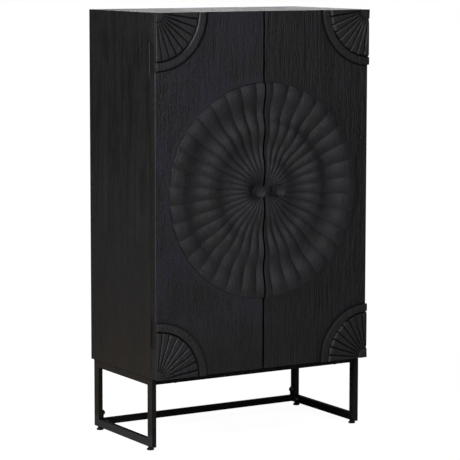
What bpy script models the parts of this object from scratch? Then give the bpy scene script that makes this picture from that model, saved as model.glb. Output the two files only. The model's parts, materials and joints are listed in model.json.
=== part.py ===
"""Tall cabinet: two full-height doors with a carved medallion across both, on a tube stand.

Metres, +Z up. X runs along the width, Y from the front to the back.
The origin is on the floor, in the middle of the width and of the overall depth.
"""

import math

import bmesh
import bpy
from mathutils import Matrix, Vector

# Body
BODY_WIDTH = 0.750
BODY_DEPTH = 0.409
BODY_HEIGHT = 1.082
PANEL = 0.018
BACK_PANEL = 0.006
BACK_LAP = 0.009
SHELF = 0.018
SHELF_SETBACK = 0.020
SHELF_COUNT = 3
SHELF_TONGUE = 0.009
HOUSING_DEPTH = 0.006
EDGE_BEVEL = 0.0005

# Clearance between pieces that touch, and how far a cutter runs past what it cuts
FIT = 0.0003
OVERRUN = 0.002

# Doors, which cover the body's whole front
DOOR = 0.0285
DOOR_SPLIT = 0.003
DOOR_GAP = 0.0012
DOOR_BEVEL = 0.0015

# Butt hinges, with the leaves let in and the barrel half sunk in the corner between door and side
HINGE_LENGTH = 0.090
HINGE_FROM_END = 0.090
HINGE_LEAF = 0.0010
HINGE_LEAF_WIDTH = 0.0165
HINGE_BARREL = 0.0028
HINGE_PIN = 0.0012
HINGE_OUTSET = 0.0010
LEAF_PLAY = 0.0004
KNUCKLES = 5
BARREL_PLAY = 0.0004

# Carved medallion, let into a round recess across both doors
MEDALLION_MARGIN = 0.048
MEDALLION_RISE = 0.0025
MEDALLION_SUNK = 0.009
RELIEF = 0.0077
RIB_COUNT = 36
RIB_STEPS = 4
RIB_DEPTH = 0.0034
RIB_FULL_SHARE = 0.45
WAVE_POWER = 2.2
# Crests and troughs of the rings: share of the radius, share of the relief
WAVE_SHARES = (
    (0.0, -0.20),
    (0.193, 0.36),
    (0.379, -0.32),
    (0.572, 0.66),
    (0.719, -0.16),
    (0.935, 1.0),
    (1.0, 0.70),
)
RING_SHARES = (0.07, 0.193, 0.286, 0.379, 0.475, 0.572, 0.645, 0.719, 0.773, 0.827, 0.88, 0.935, 0.975, 1.0)

# Carved fans on the outer corners of the doors
FAN_RADIUS = 0.170
FAN_HEIGHT = 0.0102
FAN_GROOVE = 0.0034
FAN_GROOVES = 8
FAN_PITCH = math.radians(10.57)
# Columns across one petal, as shares of the pitch from the groove before it
FAN_COLUMN_SHARES = (0.0, 0.25, 0.75)
# Share of the radius, share of the height, share of the groove's depth
FAN_PROFILE_SHARES = (
    (0.165, 1.0, 0.0),
    (0.185, 0.64, 0.0),
    (0.24, 0.82, 0.7),
    (0.80, 0.90, 1.0),
    (0.848, 0.66, 0.3),
    (0.868, 1.0, 0.0),
    (0.98, 1.0, 0.0),
    (1.0, 0.84, 0.0),
)

# Knobs
KNOB_SPREAD = 0.035
KNOB_REACH = 0.030
KNOB_RADIUS = 0.022
KNOB_FOOT = 0.010
KNOB_SUNK = 0.0015
KNOB_SIDES = 20
# Share of the head's radius, share of the length from the seat, up to the rim and into the dish
KNOB_SHARES = (
    (0.36, 0.12),
    (0.34, 0.34),
    (0.46, 0.48),
    (0.80, 0.57),
    (0.97, 0.66),
    (1.0, 0.78),
    (0.98, 0.91),
    (0.90, 1.0),
    (0.72, 0.93),
    (0.37, 0.845),
)
KNOB_DISH_SHARE = 0.825
KNOB_BORE_SHARE = 0.6

# Screws and bolts
KNOB_SCREW = 0.002
KNOB_SCREW_HEAD = 0.004
KNOB_SCREW_HEAD_HEIGHT = 0.0022
STAND_SCREW = 0.0025
STAND_SCREW_HEAD = 0.005
STAND_SCREW_HEAD_HEIGHT = 0.003
STAND_SCREW_BITE = 0.012
STAND_SCREW_INSET = 0.070
BOLT = 0.003
BOLT_HEAD = 0.0075
BOLT_HEAD_HEIGHT = 0.007
BOLT_REACH = 0.006
SCREW_PLAY = 0.0003
SCREW_SIDES = 12
# Share of the head's radius, share of its height
SCREW_DOME_SHARES = (
    (0.77, 0.87),
    (1.0, 0.26),
)

# Magnetic catches under the top panel, with a strike plate on each door
CATCH_WIDTH = 0.040
CATCH_DEPTH = 0.014
CATCH_HEIGHT = 0.014
CATCH_FROM_SPLIT = 0.012
CATCH_GAP = 0.0003
STRIKE = 0.0010
STRIKE_WIDTH = 0.032
STRIKE_HEIGHT = 0.012

# Stand of rectangular tube: a mitred loop at each side, joined by cross rails
STAND_HEIGHT = 0.208
STAND_INSET = 0.0044
STAND_FRONT_INSET = 0.0018
STAND_BACK_INSET = 0.0125
TUBE_WIDTH = 0.0144
LEG_DEPTH = 0.0252
RAIL_HEIGHT = 0.0215
CROSS_HEIGHT = 0.0187
STRETCHER_HEIGHT = 0.0174
STRETCHER_DEPTH = 0.0150
TUBE_WALL = 0.0015
TUBE_CORNER = 0.0020
CORNER_STEPS = 1

# Angle plates at the ends of the stretcher, each bolted to a leg and to a rail
PLATE = 0.003
PLATE_EAR = 0.012
PLATE_LEG_BOLT = 0.018
PLATE_RAIL_BOLT = 0.0144
PLATE_STEPS = 8

# Levelling feet
FOOT_HEIGHT = 0.012
FOOT_FROM_END = 0.022
FOOT_PAD = 0.0097
FOOT_PAD_HEIGHT = 0.0068
FOOT_NUT = 0.0070
FOOT_STEM = 0.004
FOOT_STEM_LENGTH = 0.018
FOOT_SIDES = 18
FOOT_BASE_SHARE = 0.88
FOOT_RIM_SHARE = 0.14
FOOT_SHOULDER_SHARE = 0.66

# Places that follow from the sizes above
HALF_WIDTH = BODY_WIDTH / 2
BODY_Z = FOOT_HEIGHT + STAND_HEIGHT
TOP_Z = BODY_Z + BODY_HEIGHT
FACE_Y = (KNOB_REACH - BODY_DEPTH) / 2
DOOR_BACK_Y = FACE_Y + DOOR
FRONT_Y = DOOR_BACK_Y + DOOR_GAP
BACK_Y = FACE_Y + BODY_DEPTH
BACK_FRONT_Y = BACK_Y - BACK_PANEL
INNER_X = HALF_WIDTH - PANEL
INNER_LOW_Z = BODY_Z + PANEL
INNER_HIGH_Z = TOP_Z - PANEL
AXIS_X = HALF_WIDTH + HINGE_OUTSET
AXIS_Y = DOOR_BACK_Y + DOOR_GAP / 2
HINGE_LOW_Z = BODY_Z + HINGE_FROM_END
HINGE_HIGH_Z = TOP_Z - HINGE_FROM_END - HINGE_LENGTH
MEDALLION_Z = BODY_Z + BODY_HEIGHT / 2 + MEDALLION_RISE
EDGE_X = DOOR_SPLIT / 2
MEDALLION_RADIUS = HALF_WIDTH - EDGE_X - MEDALLION_MARGIN
STAND_X = HALF_WIDTH - STAND_INSET
STAND_INNER_X = STAND_X - TUBE_WIDTH
STAND_FRONT_Y = FRONT_Y + STAND_FRONT_INSET
STAND_REAR_Y = BACK_Y - STAND_BACK_INSET
STAND_TOP_Z = BODY_Z - FIT
RAIL_Z = FOOT_HEIGHT + RAIL_HEIGHT / 2
LEG_BOLT_Z = FOOT_HEIGHT + RAIL_HEIGHT + PLATE_LEG_BOLT
STRETCHER_TOP_Z = FOOT_HEIGHT + RAIL_HEIGHT

# Looks: colour, roughness, metallic
STAINED_WOOD = ((0.014, 0.0135, 0.0145, 1.0), 0.55, 0.0)
INNER_WOOD = ((0.018, 0.017, 0.018, 1.0), 0.6, 0.0)
BLACK_TUBE = ((0.012, 0.012, 0.013, 1.0), 0.45, 0.3)
DARK_STEEL = ((0.10, 0.10, 0.11, 1.0), 0.35, 0.9)
ZINC = ((0.55, 0.55, 0.56, 1.0), 0.35, 1.0)
BLACK_PLASTIC = ((0.015, 0.015, 0.016, 1.0), 0.5, 0.0)


def clear_scene():
    for obj in list(bpy.data.objects):
        bpy.data.objects.remove(obj, do_unlink=True)


def look_of(obj, look):
    colour, roughness, metallic = look
    material = bpy.data.materials.new(obj.name)
    material.use_nodes = True
    shader = material.node_tree.nodes["Principled BSDF"]
    shader.inputs["Base Color"].default_value = colour
    shader.inputs["Roughness"].default_value = roughness
    shader.inputs["Metallic"].default_value = metallic
    obj.data.materials.append(material)


def finish(name, bm, look, smooth=False):
    """The bmesh as a linked object, faces out. Without a look it is a cutter."""
    bmesh.ops.recalc_face_normals(bm, faces=bm.faces)
    mesh = bpy.data.meshes.new(name)
    bm.to_mesh(mesh)
    bm.free()
    obj = bpy.data.objects.new(name, mesh)
    bpy.context.scene.collection.objects.link(obj)
    if look is None:
        obj.hide_render = True
        obj.display_type = "WIRE"
        return obj
    look_of(obj, look)
    if smooth:
        mesh.shade_smooth()
        mesh.set_sharp_from_angle(angle=math.radians(40))
    return obj


def box(name, low, high, look, bevel=0.0):
    low = Vector(low)
    high = Vector(high)
    bm = bmesh.new()
    bmesh.ops.create_cube(bm, size=1.0, matrix=Matrix.LocRotScale((low + high) / 2, None, high - low))
    obj = finish(name, bm, look)
    if bevel:
        modifier = obj.modifiers.new("edges", "BEVEL")
        modifier.width = bevel
        modifier.segments = 1
    return obj


def turned(name, profile, sides, look):
    """A profile of (radius, height) points that starts and ends on the axis, spun about +Z."""
    bm = bmesh.new()
    points = [bm.verts.new((radius, 0, height)) for radius, height in profile]
    edges = [bm.edges.new(pair) for pair in zip(points, points[1:])]
    bmesh.ops.spin(
        bm, geom=points + edges, axis=(0, 0, 1), cent=(0, 0, 0), angle=math.tau, steps=sides, use_merge=True
    )
    bmesh.ops.remove_doubles(bm, verts=bm.verts, dist=FIT / 100)
    return finish(name, bm, look, smooth=True)


def rod(name, radius, start, end, sides, look):
    """A round bar between two points."""
    start = Vector(start)
    end = Vector(end)
    turn = (end - start).to_track_quat("Z", "Y")
    bm = bmesh.new()
    bmesh.ops.create_cone(
        bm,
        cap_ends=True,
        segments=sides,
        radius1=radius,
        radius2=radius,
        depth=(end - start).length,
        matrix=Matrix.LocRotScale((start + end) / 2, turn, None),
    )
    return finish(name, bm, look, smooth=True)


def boolean(obj, other, operation):
    other.hide_render = True
    other.display_type = "WIRE"
    modifier = obj.modifiers.new(other.name, "BOOLEAN")
    modifier.operation = operation
    modifier.solver = "EXACT"
    modifier.object = other


def cut(obj, *cutters):
    for cutter in cutters:
        boolean(obj, cutter, "DIFFERENCE")


def join(obj, *others):
    for other in others:
        boolean(obj, other, "UNION")


def point_at(obj, location, direction):
    """Puts a piece turned about +Z at a place, with its axis along a direction."""
    obj.location = location
    obj.rotation_mode = "QUATERNION"
    obj.rotation_quaternion = Vector(direction).to_track_quat("Z", "Y")


def hang(pivot, obj):
    """Parents a piece and its cutters to the empty on its joint's axis."""
    shift = Matrix.Translation(-pivot.location)
    for piece in [obj] + [modifier.object for modifier in obj.modifiers if modifier.type == "BOOLEAN"]:
        if piece.rotation_mode == "QUATERNION":
            piece.location = piece.location - pivot.location
        else:
            piece.data.transform(shift)
        piece.parent = pivot


def pivot_empty(name, location):
    empty = bpy.data.objects.new(name, None)
    empty.location = location
    bpy.context.scene.collection.objects.link(empty)
    return empty


def shelf_heights():
    """Underside of each shelf, which share the inner height evenly."""
    clear = (INNER_HIGH_Z - INNER_LOW_Z - SHELF_COUNT * SHELF) / (SHELF_COUNT + 1)
    return [INNER_LOW_Z + clear + index * (clear + SHELF) for index in range(SHELF_COUNT)]


def side_panel(name, side):
    """Full-height side, cut for the back panel, the shelves' tongues and the hinges."""
    panel = box(
        name,
        sorted_low((side * INNER_X, FRONT_Y, BODY_Z), (side * HALF_WIDTH, BACK_Y, TOP_Z)),
        sorted_high((side * INNER_X, FRONT_Y, BODY_Z), (side * HALF_WIDTH, BACK_Y, TOP_Z)),
        STAINED_WOOD,
        EDGE_BEVEL,
    )
    outer = INNER_X + BACK_LAP
    inner = INNER_X - OVERRUN
    near = (side * inner, BACK_FRONT_Y - FIT, BODY_Z - OVERRUN)
    far = (side * outer, BACK_Y + OVERRUN, TOP_Z + OVERRUN)
    cut(panel, box(f"{name}_rabbet", sorted_low(near, far), sorted_high(near, far), None))
    for index, height in enumerate(shelf_heights()):
        low = (side * inner, FRONT_Y + SHELF_SETBACK - FIT, height - FIT)
        high = (side * (INNER_X + HOUSING_DEPTH), BACK_FRONT_Y, height + SHELF_TONGUE + FIT)
        cut(panel, box(f"{name}_housing_{index}", sorted_low(low, high), sorted_high(low, high), None))
    cut(panel, *hinge_cutters(name, side, 1))
    return panel


def sorted_low(first, second):
    return tuple(min(pair) for pair in zip(first, second))


def sorted_high(first, second):
    return tuple(max(pair) for pair in zip(first, second))


def hinge_cutters(name, side, back):
    """Hollows along the corner for the two hinge barrels, and shallow pockets for the leaves.

    back is 1 for the body, behind the axis, and -1 for the door, in front of it.
    """
    radius = HINGE_BARREL + BARREL_PLAY
    leaf_depth = LEAF_PLAY / 2 + HINGE_LEAF + FIT
    cutters = []
    for end, height in (("low", HINGE_LOW_Z), ("high", HINGE_HIGH_Z)):
        bottom = height - FIT
        top = height + HINGE_LENGTH + FIT
        start = (side * AXIS_X, AXIS_Y, bottom)
        stop = (side * AXIS_X, AXIS_Y, top)
        cutters.append(rod(f"{name}_{end}_hollow", radius, start, stop, SCREW_SIDES, None))
        near = (side * (AXIS_X - HINGE_BARREL), AXIS_Y, bottom)
        far = (side * (AXIS_X - HINGE_LEAF_WIDTH - FIT), AXIS_Y + back * leaf_depth, top)
        cutters.append(box(f"{name}_{end}_pocket", sorted_low(near, far), sorted_high(near, far), None))
    return cutters


def carcass():
    side_panel("left_side_panel", -1)
    side_panel("right_side_panel", 1)
    inner = INNER_X - FIT
    rear = BACK_FRONT_Y - FIT
    box("top_panel", (-inner, FRONT_Y, INNER_HIGH_Z), (inner, rear, TOP_Z), STAINED_WOOD, EDGE_BEVEL)
    low = (-inner, FRONT_Y, BODY_Z)
    bottom = box("bottom_panel", low, (inner, rear, INNER_LOW_Z), INNER_WOOD, EDGE_BEVEL)
    cut(bottom, *stand_screw_holes("bottom_panel", BODY_Z + STAND_SCREW_BITE + FIT))
    lap = INNER_X + BACK_LAP - FIT
    box("back_panel", (-lap, BACK_FRONT_Y, BODY_Z), (lap, BACK_Y, TOP_Z), INNER_WOOD)
    for index, height in enumerate(shelf_heights()):
        shelf(f"shelf_{index + 1}", height)


def shelf(name, height):
    """A shelf that shows its full thickness between the sides, with a tongue below at each end."""
    reach = INNER_X + HOUSING_DEPTH - FIT
    front = FRONT_Y + SHELF_SETBACK
    rear = BACK_FRONT_Y - FIT
    board = box(name, (-reach, front, height), (reach, rear, height + SHELF), INNER_WOOD)
    for side in (-1, 1):
        near = (side * (INNER_X - FIT), front - OVERRUN, height + SHELF_TONGUE)
        far = (side * (reach + OVERRUN), rear + OVERRUN, height + SHELF + OVERRUN)
        cut(board, box(f"{name}_shoulder_{side}", sorted_low(near, far), sorted_high(near, far), None))


def door_panel(name, side):
    """A door with its share of the round recess, the hinges' hollows and the knob's screw hole."""
    low = sorted_low((side * EDGE_X, FACE_Y, BODY_Z), (side * HALF_WIDTH, DOOR_BACK_Y, TOP_Z))
    high = sorted_high((side * EDGE_X, FACE_Y, BODY_Z), (side * HALF_WIDTH, DOOR_BACK_Y, TOP_Z))
    door = box(name, low, high, STAINED_WOOD, DOOR_BEVEL)
    recess = rod(
        f"{name}_recess",
        MEDALLION_RADIUS + FIT,
        (side * EDGE_X, FACE_Y - OVERRUN, MEDALLION_Z),
        (side * EDGE_X, FACE_Y + MEDALLION_SUNK, MEDALLION_Z),
        RIB_COUNT * RIB_STEPS,
        None,
    )
    cut(door, recess, knob_hole(name, side), *hinge_cutters(name, side, -1))
    return door


def knob_hole(name, side):
    start = (side * KNOB_SPREAD, FACE_Y - RELIEF - OVERRUN, MEDALLION_Z)
    end = (side * KNOB_SPREAD, DOOR_BACK_Y + OVERRUN, MEDALLION_Z)
    return rod(f"{name}_knob_hole", KNOB_SCREW + SCREW_PLAY, start, end, SCREW_SIDES, None)


def wave_height(share):
    """Height of a rib's crest above the door's face at a share of the radius."""
    for (near, low), (far, high) in zip(WAVE_SHARES, WAVE_SHARES[1:]):
        if share <= far:
            along = (share - near) / (far - near)
            rise = (2 * min(along, 1 - along)) ** WAVE_POWER / 2
            return RELIEF * (low + (high - low) * (rise if along < 1 / 2 else 1 - rise))
    return RELIEF * WAVE_SHARES[-1][1]


def rib_height(share, column):
    """Height of the carving. A rib is round across, so the valleys between ribs are sharp."""
    across = 1 - abs(2 * (column / RIB_STEPS % 1) - 1)
    return wave_height(share) - RIB_DEPTH * min(1, share / RIB_FULL_SHARE) * across**2


def medallion(name, side):
    """Half of the carved disc: a polar grid of ribs and waves, a rim and a flat back."""
    columns = RIB_COUNT * RIB_STEPS // 2
    back_y = FACE_Y + MEDALLION_SUNK - FIT
    bm = bmesh.new()

    def place(share, column, y):
        turn = math.pi * column / columns
        radius = share * MEDALLION_RADIUS
        x = side * (EDGE_X + radius * math.sin(turn))
        return bm.verts.new((x, y, MEDALLION_Z + radius * math.cos(turn)))

    centre = place(0, 0, FACE_Y - rib_height(0, 0))
    rings = [
        [place(share, column, FACE_Y - rib_height(share, column)) for column in range(columns + 1)]
        for share in RING_SHARES
    ]
    back = [place(1, column, back_y) for column in range(columns + 1)]
    for first, second in zip(rings[0], rings[0][1:]):
        bm.faces.new((centre, first, second))
    for inner, outer in zip(rings, rings[1:] + [back]):
        bridge(bm, inner, outer)
    bm.faces.new(back)
    edge = [ring[0] for ring in reversed(rings)] + [centre] + [ring[-1] for ring in rings]
    bm.faces.new(edge + [back[-1], back[0]])
    carving = finish(name, bm, STAINED_WOOD, smooth=True)
    seat = rod(
        f"{name}_knob_seat",
        KNOB_FOOT + FIT,
        (side * KNOB_SPREAD, FACE_Y - RELIEF - OVERRUN, MEDALLION_Z),
        (side * KNOB_SPREAD, FACE_Y + KNOB_SUNK, MEDALLION_Z),
        KNOB_SIDES,
        None,
    )
    cut(carving, seat, knob_hole(name, side))
    return carving


def bridge(bm, inner, outer):
    """Quads between two rows of as many points."""
    for index in range(len(inner) - 1):
        bm.faces.new((inner[index], outer[index], outer[index + 1], inner[index + 1]))


def first_groove():
    """Angle of a fan's first groove. The grooves stand evenly about its middle line."""
    return math.pi / 4 - FAN_PITCH * (FAN_GROOVES - 1) / 2


def fan_angles():
    angles = [
        first_groove() + FAN_PITCH * (groove + share)
        for groove in range(-1, FAN_GROOVES)
        for share in FAN_COLUMN_SHARES
    ]
    least = FAN_PITCH * FAN_COLUMN_SHARES[1] / 4
    return [0] + [angle for angle in angles if least < angle < math.pi / 2 - least] + [math.pi / 2]


def fan_groove(angle):
    """How deep the groove is at an angle, as a share: 1 in a groove and 0 on a petal's crest."""
    across = abs(2 * ((angle - first_groove()) / FAN_PITCH % 1) - 1)
    return across**3


def fan(name, side, corner_z, up):
    """A quarter disc of petals, with a hub in the door's corner and a raised rim."""
    corner_x = side * HALF_WIDTH
    back_y = FACE_Y - FIT
    angles = fan_angles()
    bm = bmesh.new()

    def place(share, angle, y):
        radius = share * FAN_RADIUS
        x = corner_x - side * radius * math.cos(angle)
        return bm.verts.new((x, y, corner_z + up * radius * math.sin(angle)))

    def carved_y(height_share, groove_share, angle):
        return FACE_Y - FAN_HEIGHT * height_share + FAN_GROOVE * groove_share * fan_groove(angle)

    centre = place(0, 0, FACE_Y - FAN_HEIGHT)
    back_centre = place(0, 0, back_y)
    rings = [
        [place(share, angle, carved_y(height, groove, angle)) for angle in angles]
        for share, height, groove in FAN_PROFILE_SHARES
    ]
    back = [place(1, angle, back_y) for angle in angles]
    for first, second in zip(rings[0], rings[0][1:]):
        bm.faces.new((centre, first, second))
    for inner, outer in zip(rings, rings[1:] + [back]):
        bridge(bm, inner, outer)
    bm.faces.new([back_centre] + back)
    for column in (0, -1):
        bm.faces.new([centre] + [ring[column] for ring in rings] + [back[column], back_centre])
    return finish(name, bm, STAINED_WOOD, smooth=True)


def knob(name, side):
    """Turned knob with a dished face, bored for its screw. Its foot stands in a flat seat."""
    seat_y = FACE_Y + KNOB_SUNK - FIT
    length = KNOB_REACH + KNOB_SUNK - FIT
    bore = KNOB_SCREW + SCREW_PLAY
    depth = KNOB_BORE_SHARE * length
    profile = [(0, depth), (bore, depth), (bore, 0), (KNOB_FOOT, 0)]
    profile += [(KNOB_RADIUS * radius, length * height) for radius, height in KNOB_SHARES]
    profile.append((0, length * KNOB_DISH_SHARE))
    piece = turned(name, profile, KNOB_SIDES, STAINED_WOOD)
    point_at(piece, (side * KNOB_SPREAD, seat_y, MEDALLION_Z), (0, -1, 0))
    return piece


def screw(name, shank, head, head_height, length, look):
    """A screw or bolt with a domed head. Its head seats at height 0 and its shank runs up."""
    dome = [(head * across, -head_height * down) for across, down in SCREW_DOME_SHARES]
    profile = [(0, -head_height), *dome, (head, 0), (shank, 0), (shank, length), (0, length)]
    return turned(name, profile, SCREW_SIDES, look)


def knob_screw(name, side):
    """Screw through door and medallion into the knob, stopping short of the end of its bore."""
    seat = DOOR_BACK_Y + FIT
    knob_end = FACE_Y + KNOB_SUNK - FIT - KNOB_BORE_SHARE * (KNOB_REACH + KNOB_SUNK - FIT)
    length = seat - knob_end - OVERRUN
    piece = screw(name, KNOB_SCREW, KNOB_SCREW_HEAD, KNOB_SCREW_HEAD_HEIGHT, length, ZINC)
    point_at(piece, (side * KNOB_SPREAD, seat, MEDALLION_Z), (0, -1, 0))
    return piece


def leaf(name, side, base_z, back, moving):
    """One hinge leaf with its share of the knuckles. The fixed one carries the pin."""
    axis = (side * AXIS_X, AXIS_Y)
    near = LEAF_PLAY / 2
    far = near + HINGE_LEAF
    plate_low_y = AXIS_Y + near if back else AXIS_Y - far
    plate_high_y = AXIS_Y + far if back else AXIS_Y - near
    clear_x = side * (AXIS_X - HINGE_BARREL - BARREL_PLAY)
    end_x = side * (AXIS_X - HINGE_LEAF_WIDTH)
    low = (clear_x, plate_low_y, base_z)
    high = (end_x, plate_high_y, base_z + HINGE_LENGTH)
    plate = box(name, sorted_low(low, high), sorted_high(low, high), DARK_STEEL)
    pitch = HINGE_LENGTH / KNUCKLES
    for index in range(moving, KNUCKLES, 2):
        start = base_z + index * pitch + (FIT / 2 if index else 0)
        stop = base_z + (index + 1) * pitch - (FIT / 2 if index < KNUCKLES - 1 else 0)
        tab_low = (side * (AXIS_X - HINGE_PIN - BARREL_PLAY), plate_low_y, start)
        tab_high = (side * (AXIS_X - HINGE_BARREL - 2 * BARREL_PLAY), plate_high_y, stop)
        tab = box(f"{name}_tab_{index}", sorted_low(tab_low, tab_high), sorted_high(tab_low, tab_high), None)
        ends = ((*axis, start), (*axis, stop))
        join(plate, tab, rod(f"{name}_knuckle_{index}", HINGE_BARREL, *ends, SCREW_SIDES, None))
    if moving:
        bore = HINGE_PIN + FIT
        start = (*axis, base_z - OVERRUN)
        stop = (*axis, base_z + HINGE_LENGTH + OVERRUN)
        cut(plate, rod(f"{name}_bore", bore, start, stop, SCREW_SIDES, None))
    else:
        start = (*axis, base_z + pitch / 2)
        stop = (*axis, base_z + HINGE_LENGTH - pitch / 2)
        join(plate, rod(f"{name}_pin", HINGE_PIN, start, stop, SCREW_SIDES, None))
    return plate


def strike(name, side):
    near = CATCH_FROM_SPLIT + (CATCH_WIDTH - STRIKE_WIDTH) / 2
    middle_z = INNER_HIGH_Z - FIT - CATCH_HEIGHT / 2
    low = (side * near, DOOR_BACK_Y + FIT, middle_z - STRIKE_HEIGHT / 2)
    high = (side * (near + STRIKE_WIDTH), DOOR_BACK_Y + FIT + STRIKE, middle_z + STRIKE_HEIGHT / 2)
    return box(name, sorted_low(low, high), sorted_high(low, high), ZINC)


def catch(name, side):
    front = DOOR_BACK_Y + FIT + STRIKE + CATCH_GAP
    top = INNER_HIGH_Z - FIT
    low = (side * CATCH_FROM_SPLIT, front, top - CATCH_HEIGHT)
    high = (side * (CATCH_FROM_SPLIT + CATCH_WIDTH), front + CATCH_DEPTH, top)
    return box(name, sorted_low(low, high), sorted_high(low, high), BLACK_PLASTIC, EDGE_BEVEL)


def door_set(word, side):
    """A door and all that swings with it, hung on its hinge axis."""
    pivot = pivot_empty(f"{word}_door_axis", (side * AXIS_X, AXIS_Y, BODY_Z))
    pieces = [
        door_panel(f"{word}_door", side),
        medallion(f"{word}_medallion", side),
        fan(f"{word}_top_fan", side, TOP_Z, -1),
        fan(f"{word}_bottom_fan", side, BODY_Z, 1),
        knob(f"{word}_knob", side),
        knob_screw(f"{word}_knob_screw", side),
        strike(f"{word}_strike", side),
        leaf(f"{word}_top_hinge_door_leaf", side, HINGE_HIGH_Z, False, 1),
        leaf(f"{word}_bottom_hinge_door_leaf", side, HINGE_LOW_Z, False, 1),
    ]
    for piece in pieces:
        hang(pivot, piece)
    leaf(f"{word}_top_hinge_body_leaf", side, HINGE_HIGH_Z, True, 0)
    leaf(f"{word}_bottom_hinge_body_leaf", side, HINGE_LOW_Z, True, 0)
    catch(f"{word}_catch", side)


def rounded_outline(width, depth, radius):
    """Points round a rectangle with rounded corners, about its middle."""
    points = []
    for quarter, (right, up) in enumerate(((1, 1), (-1, 1), (-1, -1), (1, -1))):
        for step in range(CORNER_STEPS + 1):
            angle = math.pi / 2 * (quarter + step / CORNER_STEPS)
            across = right * (width / 2 - radius) + radius * math.cos(angle)
            along = up * (depth / 2 - radius) + radius * math.sin(angle)
            points.append((across, along))
    return points


def tube(name, width, depth, ends, to_world, mitre=0.0, outer=1):
    """A hollow tube. A mitre shortens both ends evenly from the outer face to the inner one."""
    start, stop = ends
    bm = bmesh.new()
    inner_radius = TUBE_CORNER - TUBE_WALL
    outlines = [
        rounded_outline(width, depth, TUBE_CORNER),
        rounded_outline(width - 2 * TUBE_WALL, depth - 2 * TUBE_WALL, inner_radius),
    ]
    rows = []
    for outline in outlines:
        for end, sign in ((start, 1), (stop, -1)):
            row = []
            for across, along in outline:
                share = 0.5 - outer * along / depth
                row.append(bm.verts.new(to_world(across, along, end + sign * mitre * share)))
            rows.append(row + row[:1])
    outer_low, outer_high, inner_low, inner_high = rows
    bridge(bm, outer_low, outer_high)
    bridge(bm, inner_high, inner_low)
    bridge(bm, outer_high, inner_high)
    bridge(bm, inner_low, outer_low)
    return finish(name, bm, BLACK_TUBE, smooth=True)


def wall_hole(name, side, y, z):
    """Cutter for a bolt hole through a tube's inward wall."""
    start = (side * (STAND_INNER_X - OVERRUN), y, z)
    end = (side * (STAND_INNER_X + TUBE_WALL + OVERRUN), y, z)
    return rod(f"{name}_bolt_hole", BOLT + SCREW_PLAY, start, end, SCREW_SIDES, None)


def foot_hole(name, side, y):
    start = (side * (STAND_INNER_X + TUBE_WIDTH / 2), y, FOOT_HEIGHT - OVERRUN)
    end = (side * (STAND_INNER_X + TUBE_WIDTH / 2), y, FOOT_HEIGHT + TUBE_WALL + OVERRUN)
    return rod(f"{name}_foot_hole", FOOT_STEM + SCREW_PLAY, start, end, SCREW_SIDES, None)


def side_loop(word, side):
    """Two legs and two rails, mitred at the corners, with the holes for plates and feet."""
    middle_x = side * (STAND_INNER_X + TUBE_WIDTH / 2)
    gap = FIT * math.sqrt(2)
    for place, face_y, outer in (("front", STAND_FRONT_Y, -1), ("rear", STAND_REAR_Y, 1)):
        middle_y = face_y - outer * LEG_DEPTH / 2
        leg = tube(
            f"{word}_{place}_leg",
            TUBE_WIDTH,
            LEG_DEPTH,
            (FOOT_HEIGHT, STAND_TOP_Z),
            lambda across, along, run, y=middle_y: (middle_x + across, y + along, run),
            mitre=RAIL_HEIGHT,
            outer=outer,
        )
        cut(leg, wall_hole(leg.name, side, middle_y, LEG_BOLT_Z))
    for place, middle_z, outer in (("bottom", RAIL_Z, -1), ("top", STAND_TOP_Z - RAIL_HEIGHT / 2, 1)):
        rail = tube(
            f"{word}_{place}_rail",
            TUBE_WIDTH,
            RAIL_HEIGHT,
            (STAND_FRONT_Y + gap, STAND_REAR_Y - gap),
            lambda across, along, run, z=middle_z: (middle_x + across, run, z + along),
            mitre=LEG_DEPTH,
            outer=outer,
        )
        if place == "bottom":
            for end, y in (("front", rail_bolt_y(1)), ("rear", rail_bolt_y(-1))):
                cut(rail, wall_hole(f"{rail.name}_{end}", side, y, RAIL_Z))
            for end, y in foot_places():
                cut(rail, foot_hole(f"{rail.name}_{end}", side, y))


def rail_bolt_y(inward):
    """Bolt in a bottom rail, a set distance in from the front leg (1) or from the rear one (-1)."""
    end = STAND_FRONT_Y if inward > 0 else STAND_REAR_Y
    return end + inward * (LEG_DEPTH + PLATE_RAIL_BOLT)


def foot_places():
    return (("front", STAND_FRONT_Y + FOOT_FROM_END), ("rear", STAND_REAR_Y - FOOT_FROM_END))


def stand_screw_places():
    """Screws up through the cross rails into the bottom panel."""
    x = STAND_INNER_X - STAND_SCREW_INSET
    front = STAND_FRONT_Y + TUBE_WIDTH / 2
    rear = STAND_REAR_Y - TUBE_WIDTH / 2
    return (
        ("front_left", -x, front),
        ("front_right", x, front),
        ("rear_left", -x, rear),
        ("rear_right", x, rear),
    )


def stand_screw_holes(name, top_z):
    low_z = STAND_TOP_Z - CROSS_HEIGHT - OVERRUN
    radius = STAND_SCREW + SCREW_PLAY
    return [
        rod(f"{name}_hole_{place}", radius, (x, y, low_z), (x, y, top_z), SCREW_SIDES, None)
        for place, x, y in stand_screw_places()
    ]


def cross_tube(name, middle_y, middle_z, depth, height, reach):
    return tube(
        name,
        depth,
        height,
        (-reach, reach),
        lambda across, along, run: (run, middle_y + across, middle_z + along),
    )


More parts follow.
